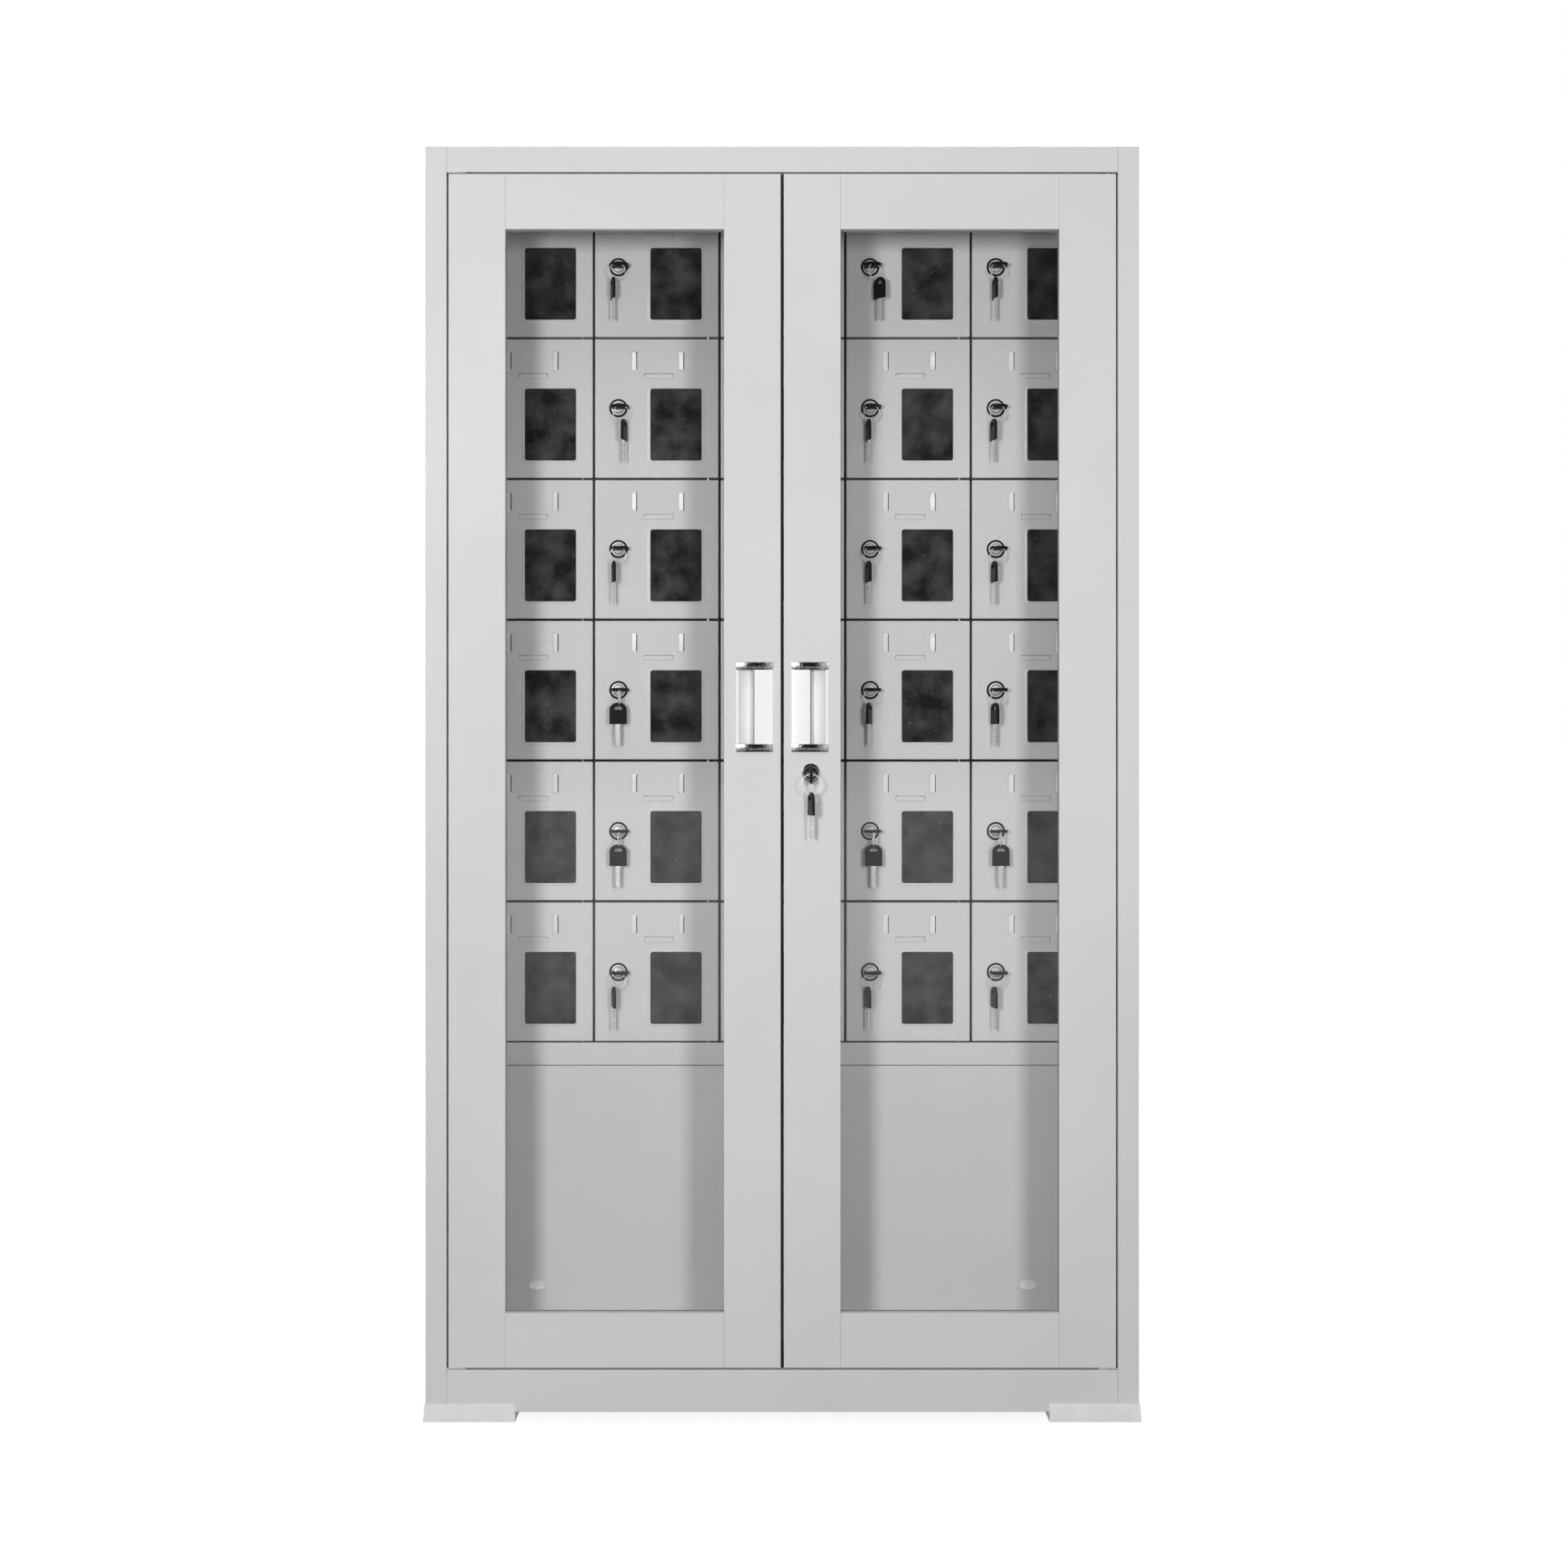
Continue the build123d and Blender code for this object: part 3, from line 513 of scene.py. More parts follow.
pressed = add(hood_tree, "GeometryNodeSetPosition", {
    "Geometry": grid.outputs["Mesh"], "Offset": lift.outputs[0],
})
give(hood_tree, pressed.outputs[0], leaf_coat)
hood_length = 27 * mm
upright_hood = grown(hood_tree, {"Length": hood_length, "Width": 7.8 * mm, "Rise": 1.7 * mm})
long_hood = grown(hood_tree, {"Length": 40 * mm, "Width": 7.5 * mm, "Rise": 1.0 * mm})

# Split rings: a double coil of round wire.
ring_tree, ring_in = node_tree("split_ring", Radius=11 * mm, Wire=0.6 * mm)
coil = add(ring_tree, "GeometryNodeCurveSpiral", {
    "Resolution": 28, "Rotations": 1.9, "Start Radius": ring_in.outputs["Radius"],
    "End Radius": ring_in.outputs["Radius"], "Height": 1.3 * mm,
})
wire = add(ring_tree, "GeometryNodeCurvePrimitiveCircle", {
    "Resolution": 8, "Radius": ring_in.outputs["Wire"],
})
swept = add(ring_tree, "GeometryNodeCurveToMesh", {
    0: coil.outputs[0], "Profile Curve": wire.outputs[0], "Fill Caps": True,
})
give(ring_tree, swept.outputs[0], key_steel)
small_ring = grown(ring_tree, {"Radius": 10.5 * mm, "Wire": 0.55 * mm})

# How a flat plate's own u, v and w run: parallel to the doors (right, up, back), as a key that hangs (up,
# back, right) and as a key in a level keyway (out, right, up). A ring or a hood is made lying flat, and
# tipped_up stands it parallel to the doors.
facing = Matrix(((1, 0, 0, 0), (0, 0, 1, 0), (0, 1, 0, 0), (0, 0, 0, 1)))
hanging = Matrix(((0, 0, 1, 0), (0, 1, 0, 0), (1, 0, 0, 0), (0, 0, 0, 1)))
level_key = Matrix(((0, 1, 0, 0), (-1, 0, 0, 0), (0, 0, 1, 0), (0, 0, 0, 1)))
tipped_up = Matrix.Rotation(math.radians(90), 4, "X")


def put(form, mesh, place, slot, slit_shade=None):
    """Adds a copy of a mesh to a form, at a place. Where a slit finish is named, faces that turn steeply to
    the
    right get it: painted shade for an open slit."""
    before = len(form.faces)
    first = len(form.verts)
    form.from_mesh(mesh)
    form.verts.ensure_lookup_table()
    form.faces.ensure_lookup_table()
    bmesh.ops.transform(form, matrix=place, verts=form.verts[first:])
    for face in form.faces[before:]:
        face.normal_update()
        face.material_index = slot if slit_shade is None or face.normal.x < slit_shade_steepness else slit_shade


def bow_outline(inset):
    """A key's bow: square shoulders at u = 0 and a rounded end. u runs towards its tip."""
    length, half = bow_size[0], bow_size[1] / 2
    start = 0.66 * length
    points = [(inset, half - inset), (inset, inset - half)]
    for degrees in range(-90, 91, 18):
        turn = math.radians(degrees)
        points.append((start + (length - start - inset) * math.cos(turn), (half - inset) * math.sin(turn)))
    return points


def eye_outline(inset):
    """The D-shaped eye near the tip of a bow."""
    base = bow_size[0] - 9.5 * mm
    radius = 5.2 * mm + inset
    return [
        (base - inset + radius * math.cos(math.radians(turn)), radius * math.sin(math.radians(turn)))
        for turn in range(-90, 91, 18)
    ]


def blade_outline(inset):
    """A flat blade with its cuts along one edge. u runs from the bow to the tip, and is negative."""
    length, half = blade_size[0], blade_size[1] / 2
    cuts = (1.3 * mm, 2.2 * mm, 0.9 * mm, 1.9 * mm, 1.2 * mm)
    first_cut, cut_pitch = 5, 4.6
    tip = 3 * mm
    points = [(0.0, half - inset), (-length + tip, half - inset), (-length + inset, half - tip)]
    points.append((-length + inset, 1.5 * mm - half))
    for n, cut in enumerate(reversed(cuts)):
        middle = -length + (first_cut + cut_pitch * n) * mm
        points += [(middle - 1.6 * mm, inset - half), (middle, inset - half + cut)]
    points += [(-2 * mm, inset - half), (0.0, inset - half)]
    return points


def add_bow(form, place, slot):
    """A key's moulded bow, with its eye."""
    plate(form, place, bow_outline, [eye_outline], bow_size[2], bow_edge, slot)


def add_key(form, place, bow_slot, steel_slot):
    """A whole key with a moulded bow. u runs to the tip of the bow."""
    add_bow(form, place, bow_slot)
    plate(form, place, blade_outline, [], blade_size[2], cut_edge, steel_slot)


def add_cam(form, place, reach, slot):
    """A lock's flat steel cam, which reaches down from its axis."""
    low, high = (-cam_half, -reach), (cam_half, cam_half)
    plate(form, Matrix.Translation(place) @ facing, lambda inset: outline(low, high, cam_corner, inset), [],
          cam_thickness, cut_edge, slot)


def build_leaf(form):
    """The folded pan: rounded front fold, rolled window bead, return flanges, vent hoods."""
    low, high = (cell_low.x, cell_low.z), (cell_high.x, cell_high.z)
    rim = [(fold_radius + 1.5 * mm, 0.0)]
    rim += [(inset * fold_radius, y * fold_radius) for inset, y in quarter_round]
    rim += [(0.0, leaf_flange), (sheet, leaf_flange), (sheet, fold_back)]
    outer = skin(form, [
        [(x, face_y + y, z) for x, z in outline(low, high, fold_radius, inset)] for inset, y in rim
    ], LEAF)
    # The bead's section in millimetres, from the face to its back edge: inset, and depth behind the face.
    bead = [
        (-4.8, 0.0), (-3.6, 0.0), (-3.0, -0.35), (-2.0, -0.75),
        (-1.0, -0.7), (-0.3, -0.2), (0.0, 0.6), (0.0, 1.6),
    ]
    inner = skin(form, [
        [(x, face_y + y * mm, z) for x, z in outline(window_low, window_high, window_corner, inset * mm)]
        for inset, y in bead
    ], LEAF)
    fill(form, [outer[0], inner[0]], LEAF)
    fill(form, [outer[-1], inner[-1]], LEAF)
    hood_z = cell_high.z - hood_down - hood_length / 2
    for x in hood_across:
        # Their steep drops are painted near-black: painted shade in the lanced slits.
        put(form, upright_hood, Matrix.Translation((cell_low.x + x, face_y, hood_z)) @ tipped_up, HOOD_HIGHLIGHT, PAINTED_SHADE)
    centre = Matrix.Translation((cell_low.x + long_hood_place[0], face_y, cell_high.z - long_hood_place[1]))
    put(form, long_hood, centre @ tipped_up @ Matrix.Rotation(math.radians(-90), 4, "Z"), LEAF)


def build_pane(form):
    """The pane, glued behind the window."""
    low = (window_low[0] - pane_lap, window_low[1] - pane_lap)
    high = (window_high[0] + pane_lap, window_high[1] + pane_lap)
    place = Matrix.Translation((0, face_y + pane_back, 0)) @ facing
    plate(form, place, lambda inset: outline(low, high, 2 * mm, inset), [], pane_thickness, cut_edge, PANE)


def build_lock(form):
    """A cam lock: turned head with a groove round its plug, the threaded barrel and the cam."""
    r = head_radius
    turned(form, lock_place, [
        (r, 0.0), (r, -1.0 * mm), (0.99 * r, -1.4 * mm), (0.975 * r, -1.6 * mm), (0.965 * r, -1.3 * mm),
    ], NICKEL)
    # A thin near-black band just inside the rim: painted shade in the narrow groove there.
    turned(form, lock_place, [(0.966 * r, -0.8 * mm), (0.965 * r, -1.35 * mm)], PAINTED_SHADE)
    turned(form, lock_place, [
        (0.77 * r, 0.0), (0.77 * r, -2.2 * mm), (0.74 * r, -2.8 * mm),
        (0.70 * r, -3.0 * mm), (0.58 * r, -3.0 * mm), (0.56 * r, -2.8 * mm),
    ], NICKEL)
    # A thin near-black band in the groove round the plug: painted shade.
    turned(form, lock_place, [(0.561 * r, -2.3 * mm), (0.56 * r, -2.82 * mm)], PAINTED_SHADE)
    turned(form, lock_place, [
        (0.52 * r, 0.0), (0.52 * r, -2.7 * mm), (0.46 * r, -3.1 * mm), (0.20 * r, -3.2 * mm),
    ], NICKEL)
    turned(form, lock_place, [(barrel_radius, barrel_depth), (barrel_radius, 0.0)], NICKEL, 24)
    add_cam(form, (lock_place.x, face_y + cam_back, lock_place.z), cam_length, ZINC)


def build_keys(form, lean, turn):
    """The key that stands in the lock, and the spare that hangs below it from a split ring."""
    shoulder = Vector((lock_place.x + key_offset, face_y + shoulder_back, lock_place.z))
    add_bow(form, Matrix.Translation(shoulder) @ level_key, BOW)
    eye_y = shoulder.y - bow_size[0] + eye_from_tip
    swing = Matrix.Rotation(math.radians(turn), 4, "Z")
    ring_middle = Vector((lock_place.x + ring_share * lean + ring_offset, eye_y, lock_place.z - ring_drop))
    put(form, small_ring, Matrix.Translation(ring_middle) @ swing @ tipped_up, STEEL)
    hang = Vector((lock_place.x + lean, eye_y, lock_place.z - spare_drop - bow_size[0]))
    add_key(form, Matrix.Translation(hang) @ swing @ hanging, BOW, STEEL)


def locker_door(lean, turn):
    """One locker door in the first cell. lean and turn say how its spare key hangs."""
    form = bmesh.new()
    build_leaf(form)
    build_pane(form)
    build_lock(form)
    build_keys(form, lean, turn)
    return mesh_from(form, "locker_door", locker_finishes)


# Keys that swing freely come to rest a little differently: lean in mm from the lock, and turn in degrees.
# The doors that aren't listed follow a plain rule.
spare_keys = {
    "r1c2": (-6, 13), "r2c2": (9, -11), "r3c2": (-5, 11), "r4c2": (1, 88), "r5c2": (1, 84), "r6c2": (-5, 12),
    "r1c4": (12, 36), "r2c4": (-3, 10), "r3c4": (-3, 13), "r4c4": (-2, -16), "r5c4": (4, 92),
    "r6c4": (-4, 15),
    "r1c5": (-3, 7), "r2c5": (-5, 12), "r3c5": (-4, 11), "r4c5": (-3, 18), "r5c5": (5, 90), "r6c5": (-4, 11),
}
for row in range(1, bank_rows + 1):
    for column in range(1, bank_columns + 1):
        cell = "r%dc%d" % (row, column)
        lean, turn = spare_keys.get(cell, (-4 + (row % 3), 8 + 3 * (row % 2)))
        door = locker_door(lean * mm, turn)
        door.transform(Matrix.Translation(((column - 1) * column_pitch, 0, (bank_rows - row) * row_pitch)))
        show("locker_front_" + cell, door, "locker_" + cell + "_door", "locker_coat", "locker_door_" + cell)

# ---- Glass doors -----------------------------------------------------------------------------------------
# Each frame is two full-height stiles with two rails butted between them, folded from 1 mm sheet and
# powder coated. A grey rubber channel holds a pane of 4 mm clear float glass.

frame_low, frame_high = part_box("right_door_frame")
glass_low, glass_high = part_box("right_door_glass")
door_y = frame_low.y
glass_bite = 9 * mm
door_coat = powder_coat(
    "powder_coated_steel_door", "#dadada", "#d4d4d4",
    seams=[glass_low.x + glass_bite, glass_high.x - glass_bite],
    seam_low=glass_low.z + glass_bite, seam_high=glass_high.z - glass_bite,
)
dress(door_coat, "left_door_frame", "right_door_frame")


def clear_glass():
    """Clear float glass: polished, with a faint grey cast and the smears left by wiping."""
    made, tree = finish_of("float_glass")
    smear = patches(tree, 120 * mm, 4.0, 0.0, 0.05, 0.45, 0.8)
    # The outer face carries the gleam of both, so its index is above the 1.52 of the glass itself.
    gleam = add(tree, "ShaderNodeFresnel", {"IOR": 1.78})
    through = add(tree, "ShaderNodeBsdfTransparent", {"Color": linear("#ffffff")})
    mirror = add(tree, "ShaderNodeBsdfGlossy", {"Color": linear("#ffffff"), "Roughness": smear})
    outer = add(tree, "ShaderNodeMixShader", {
        0: gleam.outputs[0], 1: through.outputs[0], 2: mirror.outputs[0],
    })
    inner = add(tree, "ShaderNodeNewGeometry").outputs["Backfacing"]
    shader = add(tree, "ShaderNodeMixShader", {0: inner, 1: outer.outputs[0], 2: through.outputs[0]})
    add(tree, "ShaderNodeOutputMaterial", {"Surface": shader.outputs[0]})
    return made


dress(clear_glass(), "left_door_glass", "right_door_glass")
dress(moulding("epdm_rubber", "#8f8f8f", "#868686", 0.65, 1.2 * mm),
      "left_door_glazing_strip", "right_door_glazing_strip")

# ---- Buffer strip ----------------------------------------------------------------------------------------
# A black PVC strip pressed on to the meeting edge of the left door. It cushions the doors as they close and
# keeps the dust out, and its black is painted shade for the gap between the doors.

strip_play = 0.9 * mm
strip_setback = 3 * mm
strip_short = 2 * mm
strip_edge = 0.3 * mm
strip_round = 1.2 * mm
meeting_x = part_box("left_door_frame")[1].x
strip_low = (meeting_x, frame_low.y + strip_setback)
strip_high = (frame_low.x - strip_play, frame_high.y - strip_setback)
form = bmesh.new()
rows = skin(form, [
    [(x, y, z) for x, y in outline(strip_low, strip_high, strip_round, inset)]
    for z, inset in (
        (frame_low.z + strip_short, strip_edge), (frame_low.z + strip_short + strip_edge, 0.0),
        (frame_high.z - strip_short - strip_edge, 0.0), (frame_high.z - strip_short, strip_edge),
    )
])
fill(form, [rows[0]])
fill(form, [rows[-1]])
# Its black stands in as painted shade for the gap between the doors.
black_pvc_gap_shade = moulding("black_pvc_gap_shade", "#161616", "#1e1e1e", 0.5, 1.0 * mm)
show("door_buffer_strip", mesh_from(form, "door_buffer_strip", [black_pvc_gap_shade]), "left_glass_door", "strip")

# ---- Pull handles ----------------------------------------------------------------------------------------
# Extruded aluminium, satin anodised: a cup let into the stile, half covered by a curved grip with a grey lip
# along its free edge, whose grey is painted shade for the dark line under that edge. The ends are closed by
# small polished zinc blocks.

block_height = 10 * mm
block_lap = 0.5 * mm
block_bulge = 1.4 * mm
grip_bulge = 4 * mm
rim_rise = 2 * mm
rim_width = 2.4 * mm
cup_wall = 1.4 * mm
cup_depth = 13 * mm
cup_bend = 9.8 * mm
nose = 0.5 * mm


def anodised():
    """Satin anodised aluminium, drawn out along its length."""
    made, tree = finish_of("satin_anodised_aluminium")
    place = add(tree, "ShaderNodeTexCoord").outputs["Object"]
    drawn = add(tree, "ShaderNodeMapping", {"Vector": place, "Scale": (1.0, 1.0, 0.02)})
    lines = add(tree, "ShaderNodeTexNoise", {
        "Vector": drawn.outputs[0], "Scale": 1 / (0.9 * mm), "Detail": 2.0,
    }).outputs["Fac"]
    tone = add(tree, "ShaderNodeMapRange", {"Value": lines, "From Min": 0.3, "From Max": 0.7})
    mix = add(tree, "ShaderNodeMix", {
        "Factor": tone.outputs["Result"], COLOUR_A: linear("#ffffff"), COLOUR_B: linear("#f8f8f8"),
    }, data_type="RGBA")
    brushed = add(tree, "ShaderNodeBump", {"Height": lines, "Strength": 0.1, "Distance": 0.05 * mm})
    shader = add(tree, "ShaderNodeBsdfPrincipled", {
        "Base Color": mix.outputs[COLOUR], "Metallic": 0.08, "Roughness": 0.3,
        "Normal": brushed.outputs["Normal"],
    })
    add(tree, "ShaderNodeOutputMaterial", {"Surface": shader.outputs[0]})
    return made


handle_finishes = [
    anodised(), nickel("polished_zinc_block", "#c0c0c0", "#8a8a8a", 0.14, 1.0, 2.6 * mm, 0.8),
    moulding("grey_pvc_lip_shade", "#969696", "#a0a0a0", 0.5, 1.0 * mm),
]
EXTRUSION, BLOCK, LIP_SHADE = range(3)
# The bands of the extrusion on both sides of its section's second point make up the lip, painted grey as
# shade.
lip_shade_bands = (1, 2)
# The rounded end of a block in millimetres: distance from the end, and inset.
block_round = ((0.0, 1.5), (0.0, 0.8), (0.24, 0.24), (0.8, 0.0))


def arc(start, middle, end, steps=8):
    """Points of a smooth curve through three points."""
    points = []
    for step in range(steps + 1):
        t = step / steps
        a, b, c = 2 * (t - 0.5) * (t - 1), 4 * t * (1 - t), 2 * t * (t - 0.5)
        points.append(tuple(a * s + b * m + c * e for s, m, e in zip(start, middle, end)))
    return points


def handle_section(half):
    """The extrusion's section as (across, back) points, from the grip's free edge round by its inner face,
    the cup, the rim that lies on the stile, the cup's outer face and the grip's curved front."""
    edge = half - rim_width
    points = [(0.0, -grip_bulge), (-1.8 * mm, -rim_rise - 0.6 * mm), (-1.5 * mm, -rim_rise + cup_wall)]
    points += arc((0.3 * mm, -rim_rise + cup_wall), (edge / 2, -rim_rise),
                  (edge - cup_wall, 2 * cup_wall - rim_rise))
    points += [(edge - cup_wall, cup_depth - cup_wall), (0.0, cup_depth - cup_wall)]
    points += arc((-0.1 * mm, cup_depth - cup_wall), (-edge / 2, cup_bend - cup_wall), (cup_wall - edge, 0.0))
    points += [(cup_wall - edge, -rim_rise + nose), (cup_wall - edge - nose, -rim_rise)]
    points += [(-half + nose, -rim_rise), (-half, -rim_rise + nose), (-half, 0.0), (-edge, 0.0)]
    points += arc((-edge, 0.1 * mm), (-edge / 2, cup_bend + cup_wall / 2), (0.0, cup_depth))
    points += [(edge, cup_depth), (edge, 0.0), (half, 0.0)]
    points += arc((half, -rim_rise), (half / 2, -grip_bulge + 0.3 * mm), (0.1 * mm, -grip_bulge))
    return points


def pull_handle(side):
    """The handle of the door on that side, -1 left and 1 right. The grip is towards the meeting edge."""
    hand = "left" if side < 0 else "right"
    name = hand + "_door_handle"
    low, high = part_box(name)
    middle_x, half = (low.x + high.x) / 2, (high.x - low.x) / 2
    form = bmesh.new()
    rows = skin(form, [
        [(middle_x - side * x, door_y + y, z) for x, y in handle_section(half)]
        for z in (low.z + block_height - block_lap, high.z - block_height + block_lap)
    ], EXTRUSION)
    form.faces.ensure_lookup_table()
    for band in lip_shade_bands:
        form.faces[band].material_index = LIP_SHADE
    fill(form, [rows[0]], EXTRUSION)
    fill(form, [rows[1]], EXTRUSION)
    face = [(-half, 0.0)]
    face += arc((-half, -rim_rise), (0.0, -grip_bulge - block_bulge), (half, -rim_rise), 14)
    face.append((half, 0.0))
    for base, top in ((low.z, low.z + block_height), (high.z - block_height, high.z)):
        levels = [(base + rise * mm, inset * mm) for rise, inset in block_round]
        levels += [(top - rise * mm, inset * mm) for rise, inset in reversed(block_round)]
        rows = skin(form, [
            [(middle_x + x * (1 - inset / half), door_y + y + (inset if y < 0 else 0), z) for x, y in face]
            for z, inset in levels
        ], BLOCK)
        fill(form, [rows[0]], BLOCK)
        fill(form, [rows[-1]], BLOCK)
    show(name + "_dressed", mesh_from(form, name, handle_finishes), hand + "_glass_door", "handle", name)


pull_handle(-1)
pull_handle(1)

# ---- Main lock and its keys ------------------------------------------------------------------------------
# A nickel-plated cam lock in the right door. Its key stands upright in the plug, and a spare hangs below it
# from a split ring through the first key's eye.

barrel_low, barrel_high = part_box("main_lock_barrel")
plug_low, plug_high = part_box("main_lock_plug")
spare_low, spare_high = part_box("main_spare_key")
main_lock = Vector(((barrel_low.x + barrel_high.x) / 2, door_y, (barrel_low.z + barrel_high.z) / 2))
main_barrel_radius = 8 * mm
main_barrel_depth = 20 * mm
nut_radius = 4.5 * mm
nut_depth = 4 * mm
main_shoulder = Vector((0, -5 * mm, -2 * mm))
# A key in an upright keyway: its own u, v and w run out, up and right.
upright_key = Matrix(((0, 0, 1, 0), (-1, 0, 0, 0), (0, 1, 0, 0), (0, 0, 0, 1)))
main_ring_radius = 13 * mm
main_ring_wire = 0.6 * mm
main_spare_turn = 15
lock_finishes = [nickel("polished_nickel", "#cfcdc8", "#b4b2ae", 0.13), painted_shade_black, zinc]
POLISHED, GROOVE_SHADE, PLATED = range(3)
key_finishes = [bow_abs, key_steel]
KEY_BOW, KEY_STEEL = range(2)

form = bmesh.new()
turned(form, main_lock, [
    (12 * mm, 0.0), (12 * mm, -1.8 * mm), (11.4 * mm, -2.5 * mm), (10.6 * mm, -2.7 * mm),
    (8.2 * mm, -3.0 * mm), (7.8 * mm, -2.9 * mm), (7.4 * mm, -2.4 * mm),
], POLISHED)
# A thin near-black band between the head and the plug: painted shade in the groove there.
turned(form, main_lock, [(7.4 * mm, -1.0 * mm), (7.38 * mm, -2.45 * mm)], GROOVE_SHADE)
turned(form, main_lock, [(main_barrel_radius, main_barrel_depth), (main_barrel_radius, 0.0)], POLISHED, 24)
barrel = mesh_from(form, "main_lock_barrel", lock_finishes)
show("main_lock_barrel_dressed", barrel, "right_glass_door", "chrome", "main_lock_barrel")

form = bmesh.new()
turned(form, main_lock, [
    (6.4 * mm, 0.0), (6.4 * mm, -2.1 * mm), (5.9 * mm, -2.6 * mm), (3.5 * mm, -2.9 * mm),
    (1.2 * mm, -3.0 * mm),
], POLISHED)
add_cam(form, (main_lock.x, plug_high.y - cam_thickness / 2, main_lock.z), main_lock.z - plug_low.z, PLATED)
nut_back = plug_high.y - door_y
turned(form, main_lock, [(nut_radius, nut_back), (nut_radius, nut_back - nut_depth)], POLISHED, 6)
plug = mesh_from(form, "main_lock_plug", lock_finishes)
show("main_lock_plug_dressed", plug, "main_lock", "chrome", "main_lock_plug")

form = bmesh.new()
shank_low = (-2.2 * mm, -blade_size[1] / 2)
shank_high = (0.5 * mm, blade_size[1] / 2)
place = Matrix.Translation(main_lock + main_shoulder) @ upright_key
add_bow(form, place, KEY_BOW)
plate(form, place, lambda inset: outline(shank_low, shank_high, 0.2 * mm, inset, 1), [], blade_size[2],
      cut_edge, KEY_STEEL)
show("main_key_dressed", mesh_from(form, "main_key", key_finishes), "main_lock", "key", "main_key")

form = bmesh.new()
eye_y = (spare_low.y + spare_high.y) / 2
main_ring = grown(ring_tree, {"Radius": main_ring_radius - main_ring_wire, "Wire": main_ring_wire})
place = Matrix.Translation((main_lock.x, eye_y, spare_high.z - main_ring_radius)) @ tipped_up
put(form, main_ring, place, KEY_STEEL)
stance = Matrix.Translation((main_lock.x, eye_y, spare_low.z + blade_size[0]))
turn = Matrix.Rotation(math.radians(main_spare_turn), 4, "Z")
add_key(form, stance @ turn @ hanging, KEY_BOW, KEY_STEEL)
spare = mesh_from(form, "main_spare_key", key_finishes)
show("main_spare_key_dressed", spare, "spare_key", "key", "main_spare_key")

# ---- Studio ----------------------------------------------------------------------------------------------
# A white floor and backdrop, two upright strip lights beside the camera, and soft boxes round the cabinet.
# Black cloth behind the camera keeps the glass clear. Two bright cards show only in the glossy pieces.

camera_distance = 2.6
camera_height = 0.8043
camera_aside = 0.0022
camera_data = bpy.data.cameras.new("camera")
camera_data.lens = 47.32
camera_data.sensor_width = 36
camera = bpy.data.objects.new("camera", camera_data)
camera.location = (camera_aside, door_y - camera_distance, camera_height)
camera.rotation_euler = (math.radians(90), 0, 0)
scene.collection.objects.link(camera)
scene.camera = camera


def area_lamp(name, place, turn, power, width, height):
    """A soft lamp that is seen neither directly nor in a reflection."""
    lamp = bpy.data.lights.new(name, "AREA")
    lamp.shape = "RECTANGLE"
    lamp.size = width
    lamp.size_y = height
    lamp.energy = power
    placed = bpy.data.objects.new(name, lamp)
    placed.location = place
    placed.rotation_euler = turn
    placed.visible_glossy = False
    placed.visible_camera = False
    scene.collection.objects.link(placed)


strip_size = (0.30, 0.5)
strip_z = 1.0
for name, x, power in (("left_strip", -0.656, 32.8), ("right_strip", 0.700, 26.0)):
    area_lamp(name, (x, camera.location.y, strip_z), (math.radians(90), 0, 0), power, *strip_size)

# The soft boxes, each with its place, its target, its power and the length of its side.
for name, place, target, power, side in (
    ("top_box", (0, -1.8, 2.9), (0, door_y, 1.4), 12, 1.2),
    ("roof_box", (0, 0.9, 3.1), (0, 0, 1.6), 10, 1.2),
    ("back_box", (0, 3.2, 2.4), (0, 0, 0.9), 46, 2.0),
    ("left_box", (-2.8, 1.3, 1.7), (-0.45, 0.3, 0.8), 50, 1.5),
    ("right_box", (2.8, 1.3, 1.7), (0.45, 0.3, 0.8), 50, 1.5),
):
    aim = (Vector(target) - Vector(place)).to_track_quat("-Z", "Y").to_euler()
    area_lamp(name, place, aim, power, side, side)


def stage_plane(name, corners, material):
    """A flat stage piece between four corners."""
    mesh = bpy.data.meshes.new(name)
    mesh.from_pydata(corners, [], [tuple(range(len(corners)))])
    mesh.materials.append(material)
    placed = bpy.data.objects.new(name, mesh)
    scene.collection.objects.link(placed)
    return placed


def seen_directly(tree):
    """1 for rays from the camera and those that glass and metal pass on, else 0."""
    rays = add(tree, "ShaderNodeLightPath").outputs
    direct = rays["Is Camera Ray"]
    for kind in ("Is Glossy Ray", "Is Transmission Ray"):
        direct = add(tree, "ShaderNodeMath", {0: direct, 1: rays[kind]}, operation="MAXIMUM").outputs[0]
    return direct


floor_reach = 30
floor_paint, tree = finish_of("white_floor")
matt = add(tree, "ShaderNodeBsdfDiffuse", {"Color": linear("#8c8c8c")})
place = add(tree, "ShaderNodeTexCoord").outputs["Object"]
away = add(tree, "ShaderNodeVectorMath", {0: place}, operation="LENGTH").outputs["Value"]
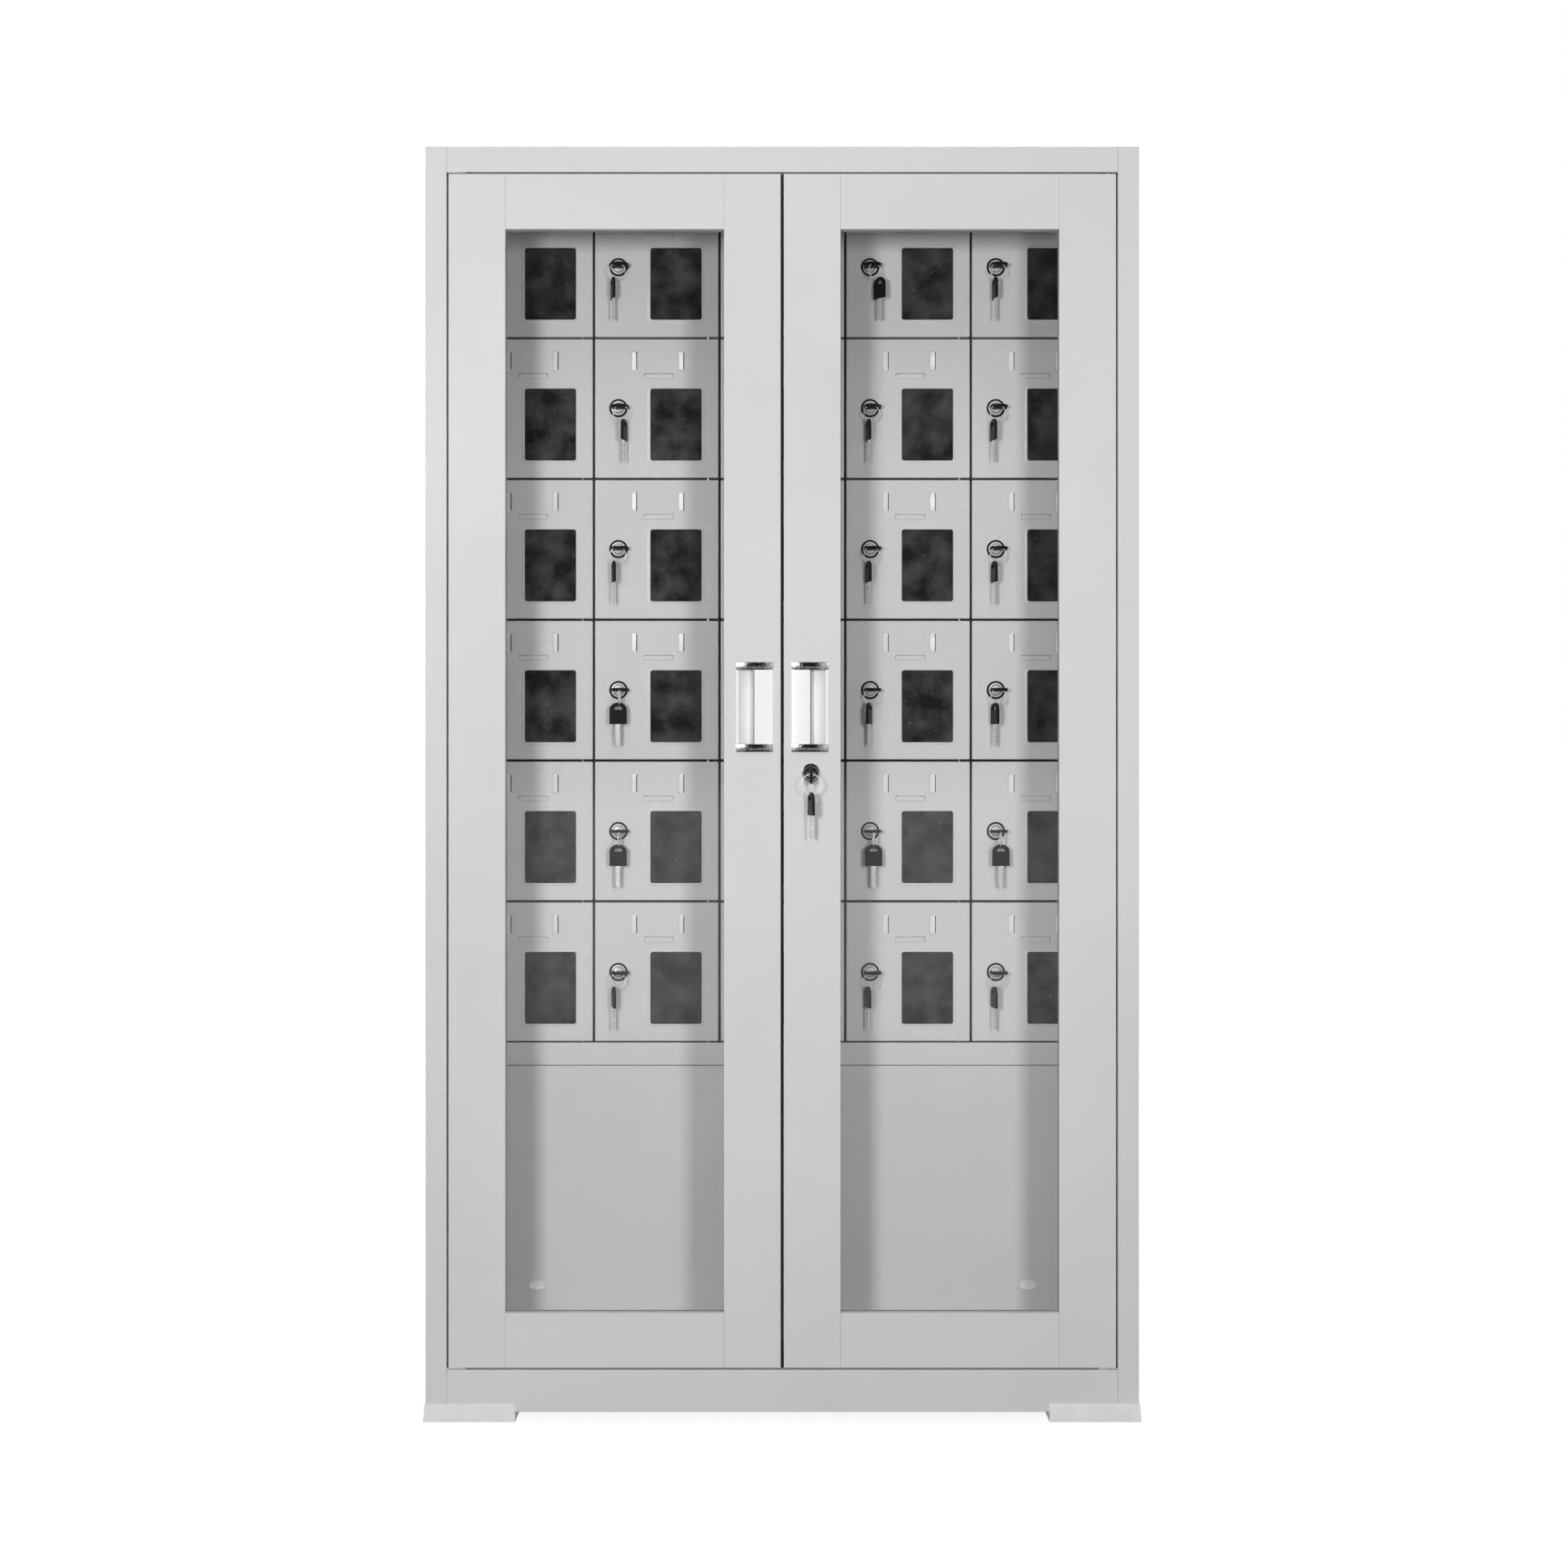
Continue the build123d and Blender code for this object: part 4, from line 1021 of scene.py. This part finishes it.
# The floor's own white is a little lower near the cabinet, where the lamps add to it.
own = add(tree, "ShaderNodeMapRange", {
    "Value": away, "From Min": 0.9, "From Max": 3.5, "To Min": 0.86, "To Max": 1.0,
}).outputs["Result"]
bright = add(tree, "ShaderNodeMath", {0: seen_directly(tree), 1: own}, operation="MULTIPLY")
glow = add(tree, "ShaderNodeEmission", {"Color": linear("#ffffff"), "Strength": bright.outputs[0]})
shader = add(tree, "ShaderNodeAddShader", {0: matt.outputs[0], 1: glow.outputs[0]})
add(tree, "ShaderNodeOutputMaterial", {"Surface": shader.outputs[0]})
stage_plane("floor", [
    (-floor_reach, -floor_reach, 0), (floor_reach, -floor_reach, 0),
    (floor_reach, floor_reach, 0), (-floor_reach, floor_reach, 0),
], floor_paint)

# The cloth is dark where the glass would mirror it into the camera. The wall has a band of half brightness
# low down, and the cloth fades to white at the sides, at the top and close to the doors.
dark_room, tree = finish_of("dark_room")
place = coordinates(tree)
beside = add(tree, "ShaderNodeMath", {0: place["X"]}, operation="ABSOLUTE").outputs[0]
fades = []
for along, start, end, low, high in (
    (place["Z"], 0.02, 0.20, 0.02, 0.5),
    (place["Z"], 0.74, 0.86, 0.5, 0.01),
    (place["Z"], 2.4, 3.0, 0.0, 1.0),
    (beside, 0.8, 1.5, 0.0, 1.0),
    (place["Y"], -0.6, -0.45, 0.0, 1.0),
):
    fades.append(add(tree, "ShaderNodeMapRange", {
        "Value": along, "From Min": start, "From Max": end, "To Min": low, "To Max": high,
    }).outputs["Result"])
level = add(tree, "ShaderNodeMath", {0: fades[0], 1: fades[1]}, operation="MINIMUM").outputs[0]
for fade in fades[2:]:
    level = add(tree, "ShaderNodeMath", {0: level, 1: fade}, operation="MAXIMUM").outputs[0]
shader = add(tree, "ShaderNodeEmission", {"Color": linear("#ffffff"), "Strength": level})
add(tree, "ShaderNodeOutputMaterial", {"Surface": shader.outputs[0]})


def reflector(name, strength):
    """A bright card with soft upper and lower edges."""
    made, tree = finish_of(name)
    height = coordinates(tree)["Z"]
    up = add(tree, "ShaderNodeMapRange", {
        "Value": height, "From Min": 0.9, "From Max": 1.2, "To Min": 0.0, "To Max": strength,
    })
    down = add(tree, "ShaderNodeMapRange", {
        "Value": height, "From Min": 2.15, "From Max": 2.5, "To Min": strength, "To Max": 0.0,
    })
    level = add(tree, "ShaderNodeMath", {0: up.outputs[0], 1: down.outputs[0]}, operation="MINIMUM")
    shader = add(tree, "ShaderNodeEmission", {"Color": linear("#ffffff"), "Strength": level.outputs[0]})
    add(tree, "ShaderNodeOutputMaterial", {"Surface": shader.outputs[0]})
    return made


cloth_side = 1.5
cloth_low = 0.01
cloth_high = 3
cloth_back = camera.location.y - 0.4
cloth_front = -0.45
for name, corners, paint in (
    ("dark_wall", [
        (-cloth_side, cloth_back, cloth_low), (cloth_side, cloth_back, cloth_low),
        (cloth_side, cloth_back, cloth_high), (-cloth_side, cloth_back, cloth_high),
    ], dark_room),
    ("dark_carpet", [
        (-cloth_side, cloth_back, cloth_low), (cloth_side, cloth_back, cloth_low),
        (cloth_side, cloth_front, cloth_low), (-cloth_side, cloth_front, cloth_low),
    ], dark_room),
    ("left_card", [
        (-2.3, -2.2, 0.8), (-0.95, -2.5, 0.8), (-0.95, -2.5, 2.7), (-2.3, -2.2, 2.7),
    ], reflector("left_reflector", 7.0)),
    ("right_card", [
        (2.2, -2.2, 0.8), (1.4, -2.4, 0.8), (1.4, -2.4, 2.7), (2.2, -2.2, 2.7),
    ], reflector("right_reflector", 2.5)),
):
    card = stage_plane(name, corners, paint)
    card.visible_camera = card.visible_diffuse = card.visible_shadow = card.visible_transmission = False

fill_light = 0.03
world = bpy.data.worlds.new("studio")
scene.world = world
world.use_nodes = True
tree = world.node_tree
tree.nodes.clear()
strength = add(tree, "ShaderNodeMapRange", {
    "Value": seen_directly(tree), "To Min": fill_light, "To Max": 1.0,
})
sky = add(tree, "ShaderNodeBackground", {
    "Color": linear("#ffffff"), "Strength": strength.outputs["Result"],
})
add(tree, "ShaderNodeOutputWorld", {"Surface": sky.outputs[0]})

scene.view_settings.view_transform = "Standard"
